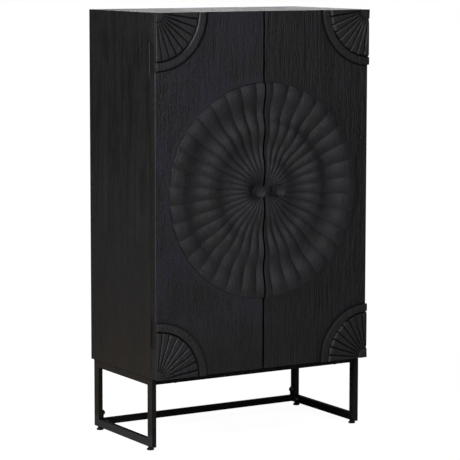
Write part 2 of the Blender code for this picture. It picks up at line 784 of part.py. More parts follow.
def cross_rails():
    reach = STAND_INNER_X - FIT
    middle_z = STAND_TOP_Z - CROSS_HEIGHT / 2
    for place, y in (("front", STAND_FRONT_Y + TUBE_WIDTH / 2), ("rear", STAND_REAR_Y - TUBE_WIDTH / 2)):
        rail = cross_tube(f"{place}_cross_rail", y, middle_z, TUBE_WIDTH, CROSS_HEIGHT, reach)
        holes = stand_screw_holes(rail.name, STAND_TOP_Z + OVERRUN)
        cut(rail, *[hole for hole in holes if f"hole_{place}" in hole.name])
    for place, x, y in stand_screw_places():
        seat = STAND_TOP_Z - CROSS_HEIGHT - FIT
        length = BODY_Z + STAND_SCREW_BITE - seat
        name = f"stand_screw_{place}"
        piece = screw(name, STAND_SCREW, STAND_SCREW_HEAD, STAND_SCREW_HEAD_HEIGHT, length, DARK_STEEL)
        piece.location = (x, y, seat)


def plate_outline():
    """Angle plate seen from the side: an ear up the leg and an ear forward along the rail."""
    leg_y = STAND_REAR_Y - LEG_DEPTH / 2
    rail_y = rail_bolt_y(-1)
    ear = min(PLATE_EAR, LEG_DEPTH / 2)
    rail_ear = min(PLATE_EAR, RAIL_HEIGHT / 2)
    points = []
    for step in range(PLATE_STEPS + 1):
        angle = math.pi * step / PLATE_STEPS
        points.append((leg_y + ear * math.cos(angle), LEG_BOLT_Z + ear * math.sin(angle)))
    points.append((leg_y - ear, RAIL_Z + rail_ear))
    for step in range(PLATE_STEPS + 1):
        angle = math.pi / 2 + math.pi * step / PLATE_STEPS
        points.append((rail_y + rail_ear * math.cos(angle), RAIL_Z + rail_ear * math.sin(angle)))
    points.append((leg_y + ear, RAIL_Z - rail_ear))
    return points


def stretcher():
    """Rear rail at floor level. It ends on two angle plates bolted to the loops."""
    reach = STAND_INNER_X - FIT - PLATE - FIT
    middle_y = STAND_REAR_Y - LEG_DEPTH + STRETCHER_DEPTH / 2
    middle_z = STRETCHER_TOP_Z - STRETCHER_HEIGHT / 2
    cross_tube("stretcher", middle_y, middle_z, STRETCHER_DEPTH, STRETCHER_HEIGHT, reach)
    bolts = (("leg", STAND_REAR_Y - LEG_DEPTH / 2, LEG_BOLT_Z), ("rail", rail_bolt_y(-1), RAIL_Z))
    for word, side in (("left", -1), ("right", 1)):
        outer_x = STAND_INNER_X - FIT
        bm = bmesh.new()
        verts = [bm.verts.new((side * outer_x, y, z)) for y, z in plate_outline()]
        face = bm.faces.new(verts)
        made = bmesh.ops.extrude_face_region(bm, geom=[face])["geom"]
        moved = [item for item in made if isinstance(item, bmesh.types.BMVert)]
        bmesh.ops.translate(bm, verts=moved, vec=(-side * PLATE, 0, 0))
        plate = finish(f"{word}_angle_plate", bm, BLACK_TUBE)
        seat_x = side * (outer_x - PLATE - FIT)
        length = PLATE + 2 * FIT + TUBE_WALL + BOLT_REACH
        for place, y, z in bolts:
            start = (side * (outer_x + OVERRUN), y, z)
            end = (side * (outer_x - PLATE - OVERRUN), y, z)
            cut(plate, rod(f"{word}_plate_{place}_hole", BOLT + SCREW_PLAY, start, end, SCREW_SIDES, None))
            bolt = screw(f"{word}_{place}_bolt", BOLT, BOLT_HEAD, BOLT_HEAD_HEIGHT, length, DARK_STEEL)
            point_at(bolt, (seat_x, y, z), (side, 0, 0))


def feet():
    """Levelling feet: a pad, a hexagon and a threaded stem up into the rail."""
    for word, side in (("left", -1), ("right", 1)):
        for end, y in foot_places():
            name = f"{word}_{end}_foot"
            pad = FOOT_PAD_HEIGHT
            profile = [
                (0, 0),
                (FOOT_PAD * FOOT_BASE_SHARE, 0),
                (FOOT_PAD, pad * FOOT_RIM_SHARE),
                (FOOT_PAD, pad * FOOT_SHOULDER_SHARE),
                (FOOT_PAD * FOOT_BASE_SHARE, pad),
                (FOOT_STEM, pad),
                (FOOT_STEM, FOOT_HEIGHT + FOOT_STEM_LENGTH),
                (0, FOOT_HEIGHT + FOOT_STEM_LENGTH),
            ]
            foot = turned(name, profile, FOOT_SIDES, DARK_STEEL)
            foot.location = (side * (STAND_INNER_X + TUBE_WIDTH / 2), y, 0)
            nut = rod(f"{name}_nut", FOOT_NUT, (0, 0, pad - FIT), (0, 0, FOOT_HEIGHT - FIT), 6, None)
            nut.parent = foot
            join(foot, nut)


clear_scene()
carcass()
door_set("left", -1)
door_set("right", 1)
side_loop("left", -1)
side_loop("right", 1)
cross_rails()
stretcher()
feet()
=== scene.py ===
"""Looks for the tall cabinet: stained wood, carved pieces in full detail, stand, light and camera."""

import json
import math
import random

import bmesh
import bpy
from mathutils import Euler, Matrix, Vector

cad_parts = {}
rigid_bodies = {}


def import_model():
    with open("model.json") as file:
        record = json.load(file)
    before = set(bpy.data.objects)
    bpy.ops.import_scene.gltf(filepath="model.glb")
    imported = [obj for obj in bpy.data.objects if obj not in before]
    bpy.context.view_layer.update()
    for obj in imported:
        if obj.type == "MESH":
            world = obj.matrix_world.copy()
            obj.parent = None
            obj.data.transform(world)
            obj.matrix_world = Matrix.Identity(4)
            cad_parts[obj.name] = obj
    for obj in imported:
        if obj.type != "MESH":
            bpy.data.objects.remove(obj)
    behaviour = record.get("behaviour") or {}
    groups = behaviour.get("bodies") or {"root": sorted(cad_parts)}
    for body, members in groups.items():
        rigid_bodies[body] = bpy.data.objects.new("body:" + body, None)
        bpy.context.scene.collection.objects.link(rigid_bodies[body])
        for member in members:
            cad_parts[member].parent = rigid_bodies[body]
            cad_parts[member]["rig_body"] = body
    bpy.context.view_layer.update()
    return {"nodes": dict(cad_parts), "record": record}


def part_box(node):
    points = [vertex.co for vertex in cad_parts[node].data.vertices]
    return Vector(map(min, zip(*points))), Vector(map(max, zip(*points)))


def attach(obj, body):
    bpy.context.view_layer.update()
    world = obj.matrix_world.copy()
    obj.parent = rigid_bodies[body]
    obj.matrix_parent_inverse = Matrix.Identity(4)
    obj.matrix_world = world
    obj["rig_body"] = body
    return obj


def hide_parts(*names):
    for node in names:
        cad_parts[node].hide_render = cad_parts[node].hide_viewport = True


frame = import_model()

NODES = frame["nodes"]
SIDES = (("left", -1), ("right", 1))

# Places taken from the frame
DOOR_LOW, DOOR_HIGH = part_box("left_door")
FACE_Y, DOOR_BACK_Y = DOOR_LOW.y, DOOR_HIGH.y
EDGE_X, HALF_WIDTH = -DOOR_HIGH.x, -DOOR_LOW.x
BODY_Z, TOP_Z = DOOR_LOW.z, DOOR_HIGH.z
DISC_LOW, DISC_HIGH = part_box("left_medallion")
DISC_RADIUS = (DISC_HIGH.z - DISC_LOW.z) / 2
DISC_Z = (DISC_HIGH.z + DISC_LOW.z) / 2
DISC_BACK_Y = DISC_HIGH.y
FAN_LOW, FAN_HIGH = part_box("left_top_fan")
FAN_RADIUS = FAN_HIGH.z - FAN_LOW.z
STAND_OUTER_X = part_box("right_front_leg")[1].x
LOWER_RAIL_TOP_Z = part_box("left_bottom_rail")[1].z

# The doors' meeting edges are eased back a little from the plain slabs
EASE = 0.0012
SPLIT_X = EDGE_X + EASE


# ---------------------------------------------------------------- materials

class Graph:
    """The nodes of a material or of the world, with short calls for the ones used here."""

    def __init__(self, owner):
        owner.use_nodes = True
        self.owner = owner
        self.tree = owner.node_tree
        is_world = isinstance(owner, bpy.types.World)
        self.shader = self.tree.nodes["Background" if is_world else "Principled BSDF"]

    def node(self, kind, operation=None, **inputs):
        node = self.tree.nodes.new("ShaderNode" + kind)
        if operation:
            node.operation = operation
        for key, value in inputs.items():
            self.feed(node, key, value)
        return node

    def feed(self, node, key, value):
        """Sets or links a socket. The key is its name, or an underscore and its number."""
        socket = node.inputs[int(key[1:])] if key[0] == "_" else node.inputs[key.replace("_", " ")]
        if isinstance(value, bpy.types.NodeSocket):
            self.tree.links.new(value, socket)
        else:
            socket.default_value = value

    def coords(self):
        return self.node("TexCoord").outputs["Object"]

    def along(self, axis):
        """One coordinate of the place on the object."""
        return self.node("SeparateXYZ", Vector=self.coords()).outputs[axis]

    def off_middle(self):
        """Distance from the cabinet's middle plane."""
        return self.math("ABSOLUTE", self.along("X"))

    def attribute(self, name):
        node = self.node("Attribute")
        node.attribute_name = name
        return node.outputs["Fac"]

    def place(self, scale, offset=(0, 0, 0), source=None):
        if source is None:
            source = self.coords()
        return self.node("Mapping", Vector=source, Scale=scale, Location=offset).outputs["Vector"]

    def noise(self, vector, scale=1.0, detail=2.0, roughness=0.5):
        inputs = {"Vector": vector, "Scale": scale, "Detail": detail, "Roughness": roughness}
        return self.node("TexNoise", **inputs).outputs["Fac"]

    def math(self, operation, first, second=0.0, third=0.0):
        return self.node("Math", operation, _0=first, _1=second, _2=third).outputs["Value"]

    def times(self, first, second):
        return self.math("MULTIPLY", first, second)

    def average(self, first, second):
        return self.math("ADD", self.times(first, 0.5), self.times(second, 0.5))

    def remap(self, value, low, high, to_low=0.0, to_high=1.0, curve="LINEAR"):
        node = self.node("MapRange", _0=value, _1=low, _2=high, _3=to_low, _4=to_high)
        node.interpolation_type = curve
        return node.outputs["Result"]

    def rise(self, value, low, high):
        """0 below low and 1 above high, with a soft change between them."""
        return self.remap(value, low, high, 0.0, 1.0, "SMOOTHSTEP")

    def fall(self, value, low, high):
        """1 below low and 0 above high, with a soft change between them."""
        return self.remap(value, low, high, 1.0, 0.0, "SMOOTHSTEP")

    def mix(self, share, first, second, blend="MIX"):
        node = self.node("Mix")
        node.data_type = "RGBA"
        node.blend_type = blend
        for key, value in (("_0", share), ("_6", first), ("_7", second)):
            self.feed(node, key, value)
        return node.outputs[2]

    def bump(self, height, distance):
        return self.node("Bump", Height=height, Distance=distance, Strength=1.0).outputs["Normal"]

    def out(self, **inputs):
        for key, value in inputs.items():
            self.feed(self.shader, key, value)
        return self.owner


def material_graph(name):
    return Graph(bpy.data.materials.new(name))


def grey(level, tint=(1, 1, 1)):
    return tuple(level * part for part in tint) + (1.0,)


def plane_distance(graph, middle, keep, source=None):
    """Distance from a point, measured only along the axes kept."""
    if source is None:
        source = graph.coords()
    away = graph.node("VectorMath", "SUBTRACT", _0=source, _1=middle).outputs["Vector"]
    flat = graph.node("VectorMath", "MULTIPLY", _0=away, _1=keep).outputs["Vector"]
    return graph.node("VectorMath", "LENGTH", _0=flat).outputs["Value"]


# Each pair: the tint where the colour lies plain, and in soft patches. The blue in the doors' and carvings'
# tints is a painted bluish reflection
PLAIN = ((1.0, 0.99, 1.02), (1.0, 0.98, 1.35))
PATCHY = ((0.96, 1.0, 1.4), (1.0, 0.95, 2.8))
BLUE = ((1.03, 1.0, 1.7), (1.03, 0.97, 2.7))
CARVED_BLUE = ((1.0, 0.98, 1.2), (0.99, 0.96, 1.65))
BROWN = ((0.97, 1.0, 1.12), (1.03, 1.0, 1.04))
WARM = ((1.08, 1.0, 0.93), (1.12, 1.0, 0.90))
# The tint near the body's lower end, and the heights above it between which it fades
# On the doors darker, with less of the painted bluish reflection
LOW_DOOR_TINT = (0.55, 0.58, 0.38)
# On the sides a painted warm glow of light thrown up from the floor
SIDE_FLOOR_GLOW_TINT = (1.40, 1.02, 0.60)
LOW_FROM = 0.02
LOW_TO = 0.22

# How strongly each scale of the figure shows: speck, fine line, line, band, cloud
LEFT_FIGURE = (3.2, 2.2, 1.5, 2.0, 5.5)
RIGHT_FIGURE = (2.8, 1.6, 3.3, 3.2, 5.5)
SIDE_FIGURE = (0.6, 0.9, 3.2, 3.2, 3.2)
CARVED_FIGURE = (1.6, 1.0, 0.5, 0.5, 2.0)
FAN_FIGURE = (3.0, 2.2, 2.2, 1.2, 2.0)
# How often each scale repeats in a metre, across and along the grain, and its detail
FIGURE_SCALES = ((240, 150, 2.0), (300, 18, 2.0), (95, 7, 2.0), (26, 2.5, 3.0), (14, 9, 3.0))
PIT_SCALE = (900, 40, 2.0)
SWAY_SCALE = (2.2, 2.2, 0.7)
SWAY = 0.018
PATCH_SCALE = (55, 55, 45)
# The grain's relief
FIGURE_RELIEF = 0.5
PIT_RELIEF = -0.10
GRAIN_DEPTH = 0.0014

# Colour levels: of the stain, of painted shade in hollows and lines, and of painted highlights on edges
HOLLOW_SHADE_LEVEL = 0.0006
SHADE_LINE_LEVEL = 0.0004
EDGE_HIGHLIGHT_LEVEL = 0.085
CARVING_HIGHLIGHT_LEVEL = 0.11
DOOR_SIDE_LEVEL = 0.0070
DOOR_SIDE_TINT = (1.02, 1.0, 0.98)
# How dark the painted shade lies in the medallion's valleys
VALLEY_SHADE = 0.6

# The painted shade line round the fans: its width outside them, its soft edge, and its strength at the lower
# fans
FAN_LINE = 0.0036
FAN_LINE_EDGE = 0.0012
LOWER_LINE_STRENGTH = 0.45
# How much more the line runs out towards the split on the left door
LEFT_LINE_SHIFT = 0.0066
# The painted shade lines and the painted shade in hollows are this much rougher
LINE_ROUGHER = 0.6
SHADE_ROUGHER = 0.5


def wood(
    name, dark=0.0060, light=0.0190, tint=PLAIN, figure=LEFT_FIGURE, offset=(0, 0, 0), along="Z",
    rough=(0.49, 0.33), gloss=0.5, zones=None, low_tint=None, carving_light_and_shade=False, meeting_edge_shade=False,
    line_shift=None, outer_edge_highlight=False,
):
    """Black-stained open-grain wood. The grain runs along one axis.

    zones(graph) gives how strong the grain is at a place and how much lighter the stain is there.
    low_tint tints the colour near the body's lower end, a painted floor glow on the sides. Carving gets
    painted shade in its hollows and painted highlights on its edges, and the doors' meeting edges get painted
    shade in their gap. line_shift adds a painted shade line round the fans. The door's outer edge can get a
    painted highlight.
    """
    graph = material_graph(name)
    place = graph.coords()
    sway = graph.times(graph.noise(graph.place(SWAY_SCALE, offset, place)), SWAY)
    source = graph.node("VectorMath", _0=place, _1=sway).outputs["Vector"]

    def lines(across, length, detail):
        scale = (across, across, length) if along == "Z" else (length, across, across)
        return graph.noise(graph.place(scale, offset, source), detail=detail, roughness=0.6)

    tone = 0.0
    for scale, amount in zip(FIGURE_SCALES, figure):
        part = graph.math("SUBTRACT", lines(*scale), 0.5)
        tone = graph.math("MULTIPLY_ADD", part, amount, tone)
    pits = graph.fall(lines(*PIT_SCALE), 0.32, 0.44)
    share, lift = zones(graph) if zones else (1.0, 0.0)
    tone = graph.times(tone, share)

    colour = graph.mix(graph.math("ADD", tone, 0.5), grey(dark), grey(light))
    colour = graph.mix(lift, colour, grey(light * 2))
    colour = graph.mix(graph.times(pits, 0.5), colour, grey(dark * 0.4))
    patch = graph.rise(graph.noise(graph.place(PATCH_SCALE, offset, place), detail=3.0), 0.40, 0.62)
    tinted = graph.mix(patch, grey(1, tint[0]), grey(1, tint[1]))
    colour = graph.mix(1.0, colour, tinted, "MULTIPLY")
    shine = graph.remap(graph.math("MULTIPLY_ADD", tone, -0.5, graph.times(pits, 0.5)), -0.2, 0.6, *rough)

    if low_tint:
        low = graph.fall(graph.along("Z"), BODY_Z + LOW_FROM, BODY_Z + LOW_TO)
        colour = graph.mix(low, colour, grey(1, low_tint), "MULTIPLY")
    # Painted shade in the carving's hollows, and painted highlights on its edges
    if carving_light_and_shade:
        painted_shade = graph.attribute("painted_shade")
        colour = graph.mix(painted_shade, colour, grey(HOLLOW_SHADE_LEVEL))
        colour = graph.mix(carving_highlight_share(graph, offset), colour, grey(CARVING_HIGHLIGHT_LEVEL))
        shine = graph.math("MULTIPLY_ADD", graph.rise(painted_shade, VALLEY_SHADE, 1.0), SHADE_ROUGHER, shine)
    # Painted shade in the gap at the doors' meeting edges
    if meeting_edge_shade:
        edge = graph.fall(graph.off_middle(), SPLIT_X + 0.0002, SPLIT_X + 0.0008)
        colour = graph.mix(edge, colour, grey(SHADE_LINE_LEVEL))
    # A painted shade line round the fans
    if line_shift is not None:
        line = fan_shade_line(graph, line_shift)
        colour = graph.mix(line, colour, grey(SHADE_LINE_LEVEL))
        shine = graph.math("MULTIPLY_ADD", line, LINE_ROUGHER, shine)
    # A painted highlight along the door's outer front edge
    if outer_edge_highlight:
        colour = highlit_outer_edge(graph, colour, offset)

    height = graph.math("MULTIPLY_ADD", pits, PIT_RELIEF, graph.times(tone, FIGURE_RELIEF))
    material = graph.out(Base_Color=colour, Roughness=shine, Normal=graph.bump(height, GRAIN_DEPTH))
    graph.shader.inputs["Specular IOR Level"].default_value = gloss
    return material


def carving_highlight_share(graph, offset):
    """How strong the painted highlights on the carving's edges are."""
    uneven = graph.remap(graph.noise(graph.place((120, 120, 120), offset)), 0.35, 0.65, 0.45, 1.0)
    return graph.times(graph.attribute("lightened"), uneven)


def highlit_outer_edge(graph, colour, offset):
    """The door's outer front edge with a painted highlight, and the plainer face beside it."""
    off_middle = graph.off_middle()
    front = graph.fall(graph.along("Y"), FACE_Y + 0.0008, FACE_Y + 0.0020)
    side_face = graph.rise(off_middle, HALF_WIDTH - 0.0006, HALF_WIDTH - 0.0002)
    side_face = graph.times(side_face, graph.math("SUBTRACT", 1.0, front))
    colour = graph.mix(side_face, colour, grey(DOOR_SIDE_LEVEL, DOOR_SIDE_TINT))
    edge = graph.rise(off_middle, HALF_WIDTH - 0.0020, HALF_WIDTH - 0.0012)
    uneven = graph.remap(graph.noise(graph.place((60, 60, 18), offset)), 0.35, 0.65, 0.4, 1.0)
    return graph.mix(graph.times(graph.times(edge, front), uneven), colour, grey(EDGE_HIGHLIGHT_LEVEL))


def fan_shade_line(graph, shift):
    """1 in the painted shade line along the outside of the fans, wider by shift towards the split."""
    mirrored = graph.node("VectorMath", "ABSOLUTE", _0=graph.coords()).outputs["Vector"]
    total = 0.0
    for z, strength in ((BODY_Z, LOWER_LINE_STRENGTH), (TOP_Z, 1.0)):
        radius = plane_distance(graph, (HALF_WIDTH - shift, 0, z), (1, 0, 1), mirrored)
        inside = graph.fall(radius, FAN_RADIUS + FAN_LINE, FAN_RADIUS + FAN_LINE + FAN_LINE_EDGE)
        outside = graph.rise(radius, FAN_RADIUS - 0.008, FAN_RADIUS - 0.006)
        ring = graph.times(inside, outside)
        total = graph.math("MAXIMUM", total, graph.times(ring, strength))
    on_front = graph.fall(graph.along("Y"), FACE_Y + 0.001, FACE_Y + 0.002)
    return graph.times(total, on_front)


def plain_lighter_ring(graph):
    """Close round the carved disc the door's face shows less of its figure and is lighter."""
    radius = plane_distance(graph, (0, 0, DISC_Z), (1, 0, 1))
    ring = graph.fall(radius, DISC_RADIUS + 0.010, DISC_RADIUS + 0.024)
    return graph.remap(ring, 0, 1, 1.0, 0.25), graph.times(ring, 0.12)


# Place and half width across, place and reach along
SIDE_STREAKS = ((0.118, 0.016, 0.74, 0.19), (-0.083, 0.014, 0.74, 0.17))


def side_streaks(graph):
    """Two soft lighter streaks in the sides' figure, and a lighter middle."""
    total = 0.0
    for y, wide, z, tall in SIDE_STREAKS:
        across = graph.fall(plane_distance(graph, (0, y, 0), (0, 1, 0)), 0, wide)
        along = graph.fall(plane_distance(graph, (0, 0, z), (0, 0, 1)), 0, tall)
        total = graph.math("ADD", total, graph.times(across, along))
    off_middle = plane_distance(graph, (0, 0, 0.62), (0, 0, 1))
    middle = graph.remap(off_middle, 0.05, 0.44, 0.55, 0.0, "SMOOTHSTEP")
    return 1.0, graph.math("ADD", total, middle)


# The stand's outer faces: browner and lighter, and speckled grey below LOW_GREY_Z
OUTER_FACE_LEVEL = 0.042
OUTER_FACE_TINT = (1.12, 0.98, 0.88)
LOW_GREY_LEVEL = 0.068
LOW_GREY_Z = (0.036, 0.060)
# A painted shadow of the body on the lower rails' upper faces
RAIL_TOP_SHADOW_LEVEL = 0.0008


def painted(name, level, rough, outer_x=None, shadowed_top_z=None):
    """Fine-textured powder coat with faint rubs and dust.

    The faces beyond outer_x are browner and lighter, and speckled grey low down. The upper faces at
    shadowed_top_z are painted blacker, a painted shadow of the body above.
    """
    graph = material_graph(name)
    coords = graph.coords()
    fine = graph.noise(coords, 900.0, 2.0)
    cloud = graph.noise(coords, 22.0, 4.0, 0.6)
    rub = graph.rise(graph.noise(graph.place((14, 14, 60)), 1.0, 4.0, 0.7), 0.55, 0.75)
    colour = graph.mix(graph.remap(cloud, 0.3, 0.7), grey(level * 0.8), grey(level * 1.25))
    colour = graph.mix(graph.times(rub, 0.25), colour, grey(level * 2.2))
    if shadowed_top_z is not None:
        height = graph.along("Z")
        from_below = graph.rise(height, shadowed_top_z - 0.0004, shadowed_top_z)
        from_above = graph.fall(height, shadowed_top_z + 0.003, shadowed_top_z + 0.004)
        colour = graph.mix(graph.times(from_below, from_above), colour, grey(RAIL_TOP_SHADOW_LEVEL))
    if outer_x is not None:
        patchy = graph.remap(graph.noise(coords, 260.0, 3.0, 0.6), 0.3, 0.7)
        darker, lighter = grey(OUTER_FACE_LEVEL * 0.7, OUTER_FACE_TINT), grey(OUTER_FACE_LEVEL * 1.3, OUTER_FACE_TINT)
        lightened = graph.mix(patchy, darker, lighter)
        speckled = graph.remap(graph.noise(coords, 420.0, 2.0, 0.7), 0.35, 0.65)
        low_grey = graph.mix(speckled, grey(LOW_GREY_LEVEL * 0.45), grey(LOW_GREY_LEVEL * 1.5))
        lightened = graph.mix(graph.fall(graph.along("Z"), *LOW_GREY_Z), lightened, low_grey)
        outside = graph.rise(graph.off_middle(), outer_x - 0.0006, outer_x - 0.0002)
        colour = graph.mix(outside, colour, lightened)
    shine = graph.remap(graph.average(fine, cloud), 0.3, 0.7, *rough)
    material = graph.out(Base_Color=colour, Roughness=shine, Normal=graph.bump(fine, 0.00004))
    graph.shader.inputs["Specular IOR Level"].default_value = 0.05
    return material


def metal(name, level, tint=(1, 1, 1), rough=(0.28, 0.45)):
    """Plated or blackened steel with drawn lines, small stains and uneven shine."""
    graph = material_graph(name)
    drawn = graph.noise(graph.place((900, 900, 60)), 1.0, 3.0, 0.6)
    stain = graph.noise(graph.coords(), 140.0, 4.0, 0.65)
    colour = graph.mix(graph.remap(stain, 0.35, 0.7), grey(level, tint), grey(level * 0.6, tint))
    shine = graph.remap(graph.average(drawn, stain), 0.3, 0.7, *rough)
    material = graph.out(Base_Color=colour, Roughness=shine, Normal=graph.bump(drawn, 0.00002))
    graph.shader.inputs["Metallic"].default_value = 1.0
    return material


LEFT_WOOD = wood(
    "left_door_wood", dark=0.0040, light=0.0118, tint=BLUE, zones=plain_lighter_ring, low_tint=LOW_DOOR_TINT,
    meeting_edge_shade=True, line_shift=LEFT_LINE_SHIFT, outer_edge_highlight=True,
)
RIGHT_WOOD = wood(
    "right_door_wood", dark=0.0010, light=0.0040, tint=PATCHY, figure=RIGHT_FIGURE, offset=(1.3, 0.2, 5.1),
    zones=plain_lighter_ring, meeting_edge_shade=True, line_shift=0.0,
)
CARVED_WOOD = wood(
    "carved_wood", dark=0.0090, light=0.0205, tint=CARVED_BLUE, figure=CARVED_FIGURE, offset=(4.4, 0.9, 7.2),
    carving_light_and_shade=True, meeting_edge_shade=True,
)
RIGHT_CARVED_WOOD = wood(
    "right_fan_wood", dark=0.0040, light=0.0120, tint=CARVED_BLUE, figure=FAN_FIGURE, offset=(2.6, 3.3, 1.1),
    carving_light_and_shade=True, meeting_edge_shade=True,
)
LEFT_CARVED_WOOD = wood(
    "left_fan_wood", dark=0.0085, light=0.0185, tint=CARVED_BLUE, figure=FAN_FIGURE, offset=(5.6, 1.3, 2.1),
    carving_light_and_shade=True, meeting_edge_shade=True,
)
SIDE_WOOD = wood(
    "side_wood", dark=0.0026, light=0.0108, tint=BROWN, figure=SIDE_FIGURE, offset=(3.1, 1.7, 0.4),
    zones=side_streaks, low_tint=SIDE_FLOOR_GLOW_TINT,
)
TOP_WOOD = wood("top_wood", tint=WARM, offset=(0.7, 5.2, 1.9), along="X", rough=(0.53, 0.39), gloss=0.38)
SHELF_WOOD = wood("shelf_wood", dark=0.011, light=0.021, offset=(9.7, 2.2, 4.9), along="X", rough=(0.55, 0.7))
BACK_WOOD = wood("back_wood", dark=0.011, light=0.021, offset=(6.4, 3.3, 8.1), rough=(0.6, 0.75))
TUBE = painted("black_tube", 0.0182, (0.80, 0.92), outer_x=STAND_OUTER_X)
# The rails take the legs' paint darker: painted shade, as the body above shades them
SHADED_RAIL_TUBE = painted(
    "shaded_black_rail_tube", 0.0115, (0.80, 0.92), outer_x=STAND_OUTER_X, shadowed_top_z=LOWER_RAIL_TOP_Z
)
BLACK_STEEL = metal("dark_steel", 0.08, rough=(0.45, 0.6))
ZINC = metal("zinc_steel", 0.5, (1.0, 0.99, 0.96))
PLASTIC = painted("catch_plastic", 0.013, (0.45, 0.6))
FOOT = painted("foot_coat", 0.030, (0.7, 0.85))

SLOT_LOOKS = {"black_tube": TUBE, "dark_steel": BLACK_STEEL, "zinc_steel": ZINC, "catch_plastic": PLASTIC}
SLOT_OF = {part["node"]: part["material_slot"] for part in frame["record"]["subparts"]}


def look_for(node):
    slot = SLOT_OF[node]
    if node.endswith("_foot"):
        return FOOT
    if node.endswith(("_rail", "stretcher")):
        return SHADED_RAIL_TUBE
    if slot in SLOT_LOOKS:
        return SLOT_LOOKS[slot]
    if slot == "inner_wood":
        return BACK_WOOD if node == "back_panel" else SHELF_WOOD
    if node == "top_panel":
        return TOP_WOOD
    if node.endswith("fan"):
        return RIGHT_CARVED_WOOD if node.startswith("right") else LEFT_CARVED_WOOD
    if node.endswith(("medallion", "knob")):
        return CARVED_WOOD
    if "side_panel" in node:
        return SIDE_WOOD
    return LEFT_WOOD if node == "left_door" else RIGHT_WOOD


for node, obj in NODES.items():
    obj.data.materials.clear()
    obj.data.materials.append(look_for(node))


# ---------------------------------------------------------------- mesh helpers

def piece(name, bm, node, sharp):
    """Turns a bmesh into a piece that stands for a CAD node and rides on its body."""
    bmesh.ops.recalc_face_normals(bm, faces=bm.faces)
    mesh = bpy.data.meshes.new(name)
    bm.to_mesh(mesh)
    bm.free()
    mesh.shade_smooth()
    mesh.set_sharp_from_angle(angle=math.radians(sharp))
    obj = bpy.data.objects.new(name, mesh)
    bpy.context.scene.collection.objects.link(obj)
    mesh.materials.append(look_for(node))
    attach(obj, NODES[node]["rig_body"])
    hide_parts(node)
    return obj


def solid_of(node):
    """A bmesh that starts as the CAD node's own solid."""
    bm = bmesh.new()
    bm.from_mesh(NODES[node].data)
    return bm


def bridge(bm, inner, outer):
    """Faces between two rows of points."""
    for index in range(len(inner) - 1):
        bm.faces.new((inner[index], outer[index], outer[index + 1], inner[index + 1]))


def join_rings(bm, rings, steps):
    """Faces between closed rings that follow each other. A ring of one point closes the surface."""
    for inner, outer in zip(rings, rings[1:]):
        for step in range(steps):
            following = (step + 1) % steps
            if len(inner) == 1:
                bm.faces.new((inner[0], outer[step], outer[following]))
            elif len(outer) == 1:
                bm.faces.new((inner[step], outer[0], inner[following]))
            else:
                bm.faces.new((inner[step], outer[step], outer[following], inner[following]))


def stack(bm, profile, origin, axis, steps):
    """Adds a surface through rings (radius, height) about an axis.

    A radius may be a function of the angle.
    """
    origin = Vector(origin)
    turn = Vector(axis).to_track_quat("Z", "Y")
    rings = []
    for radius, height in profile:
        ring = []
        for step in range(steps if radius else 1):
            angle = math.tau * step / steps
            reach = radius(angle) if callable(radius) else radius
            place = Vector((reach * math.cos(angle), reach * math.sin(angle), height))
            ring.append(bm.verts.new(origin + turn @ place))
        rings.append(ring)
    join_rings(bm, rings, steps)


def hexagon(half_flat):
    """Radius of a hexagon at an angle, for half the distance between its flats."""
    return lambda angle: half_flat / math.cos((angle + math.pi / 6) % (math.pi / 3) - math.pi / 6)


# ---------------------------------------------------------------- carved medallion

RELIEF = 0.0077
RIB_COUNT = 36
# Columns across one rib from its crest, as shares of its pitch. The valley is at one half.
RIB_COLUMNS = (0.0, 0.1, 0.2, 0.29, 0.37, 0.43, 0.472, 0.5, 0.528, 0.57, 0.63, 0.71, 0.8, 0.9)
RIB_DEPTH = 0.0034
RIB_FULL_SHARE = 0.45
# Crests and troughs of the rings: share of the radius, share of the relief
WAVES = (
    (0.0, -0.20), (0.193, 0.60), (0.379, -0.44), (0.572, 0.76), (0.719, -0.24), (0.935, 1.0), (1.0, 0.70),
)
WAVE_POWER = 2.2
RING_COUNT = 84
INNER_SHARE = 0.035
# Rounded rim: how far down, how far in from the edge
RIM_ROUND = ((0.0001, 0.0022), (0.0006, 0.0010), (0.0013, 0.0003), (0.0022, 0.0))
# A rib's own small differences: depth and shift of its rings as shares, and ripple
RIB_DEPTH_SPREAD = 0.07
RIB_SHIFT = 0.004
RIB_RIPPLE = 0.00025
RIPPLE_COUNT = 9
# The valleys' painted shade: share of the radius where it is full, and how narrow it is
VALLEY_FULL_SHARE = 0.3
VALLEY_SHARPNESS = 12


def wave_height(share):
    for (near, low), (far, high) in zip(WAVES, WAVES[1:]):
        if share <= far:
            along = (share - near) / (far - near)
            rise = (2 * min(along, 1 - along)) ** WAVE_POWER / 2
            return RELIEF * (low + (high - low) * (rise if along < 0.5 else 1 - rise))
    return RELIEF * WAVES[-1][1]


def carved_ribs(seed):
    """Small differences between ribs, as a hand leaves them: depth, shift of the rings and ripple."""
    draw = random.Random(seed)
    return [
        (
            1 + draw.uniform(-RIB_DEPTH_SPREAD, RIB_DEPTH_SPREAD),
            draw.uniform(-RIB_SHIFT, RIB_SHIFT),
            draw.uniform(0, math.tau),
        )
        for _ in range(RIB_COUNT)
    ]


RIBS = carved_ribs(11)


def disc_height(share, turn_share):
    """Height of the carving above the door's face. turn_share runs once round from the top."""
    place = turn_share * RIB_COUNT
    depth, shift, phase = RIBS[round(place) % RIB_COUNT]
    # 0 on a rib's crest and 1 in the valleys on either side of it
    across = 1 - abs(2 * (place % 1) - 1)
    own = 1 - across**2
    outward = min(1, share * 3)
    height = wave_height(share + shift * own * outward)
    height += RIB_RIPPLE * own * outward * math.sin(RIPPLE_COUNT * share + phase)
    valley = min(1, share / RIB_FULL_SHARE)
    return height - RIB_DEPTH * valley * (across**2 + (1 - depth) * own)


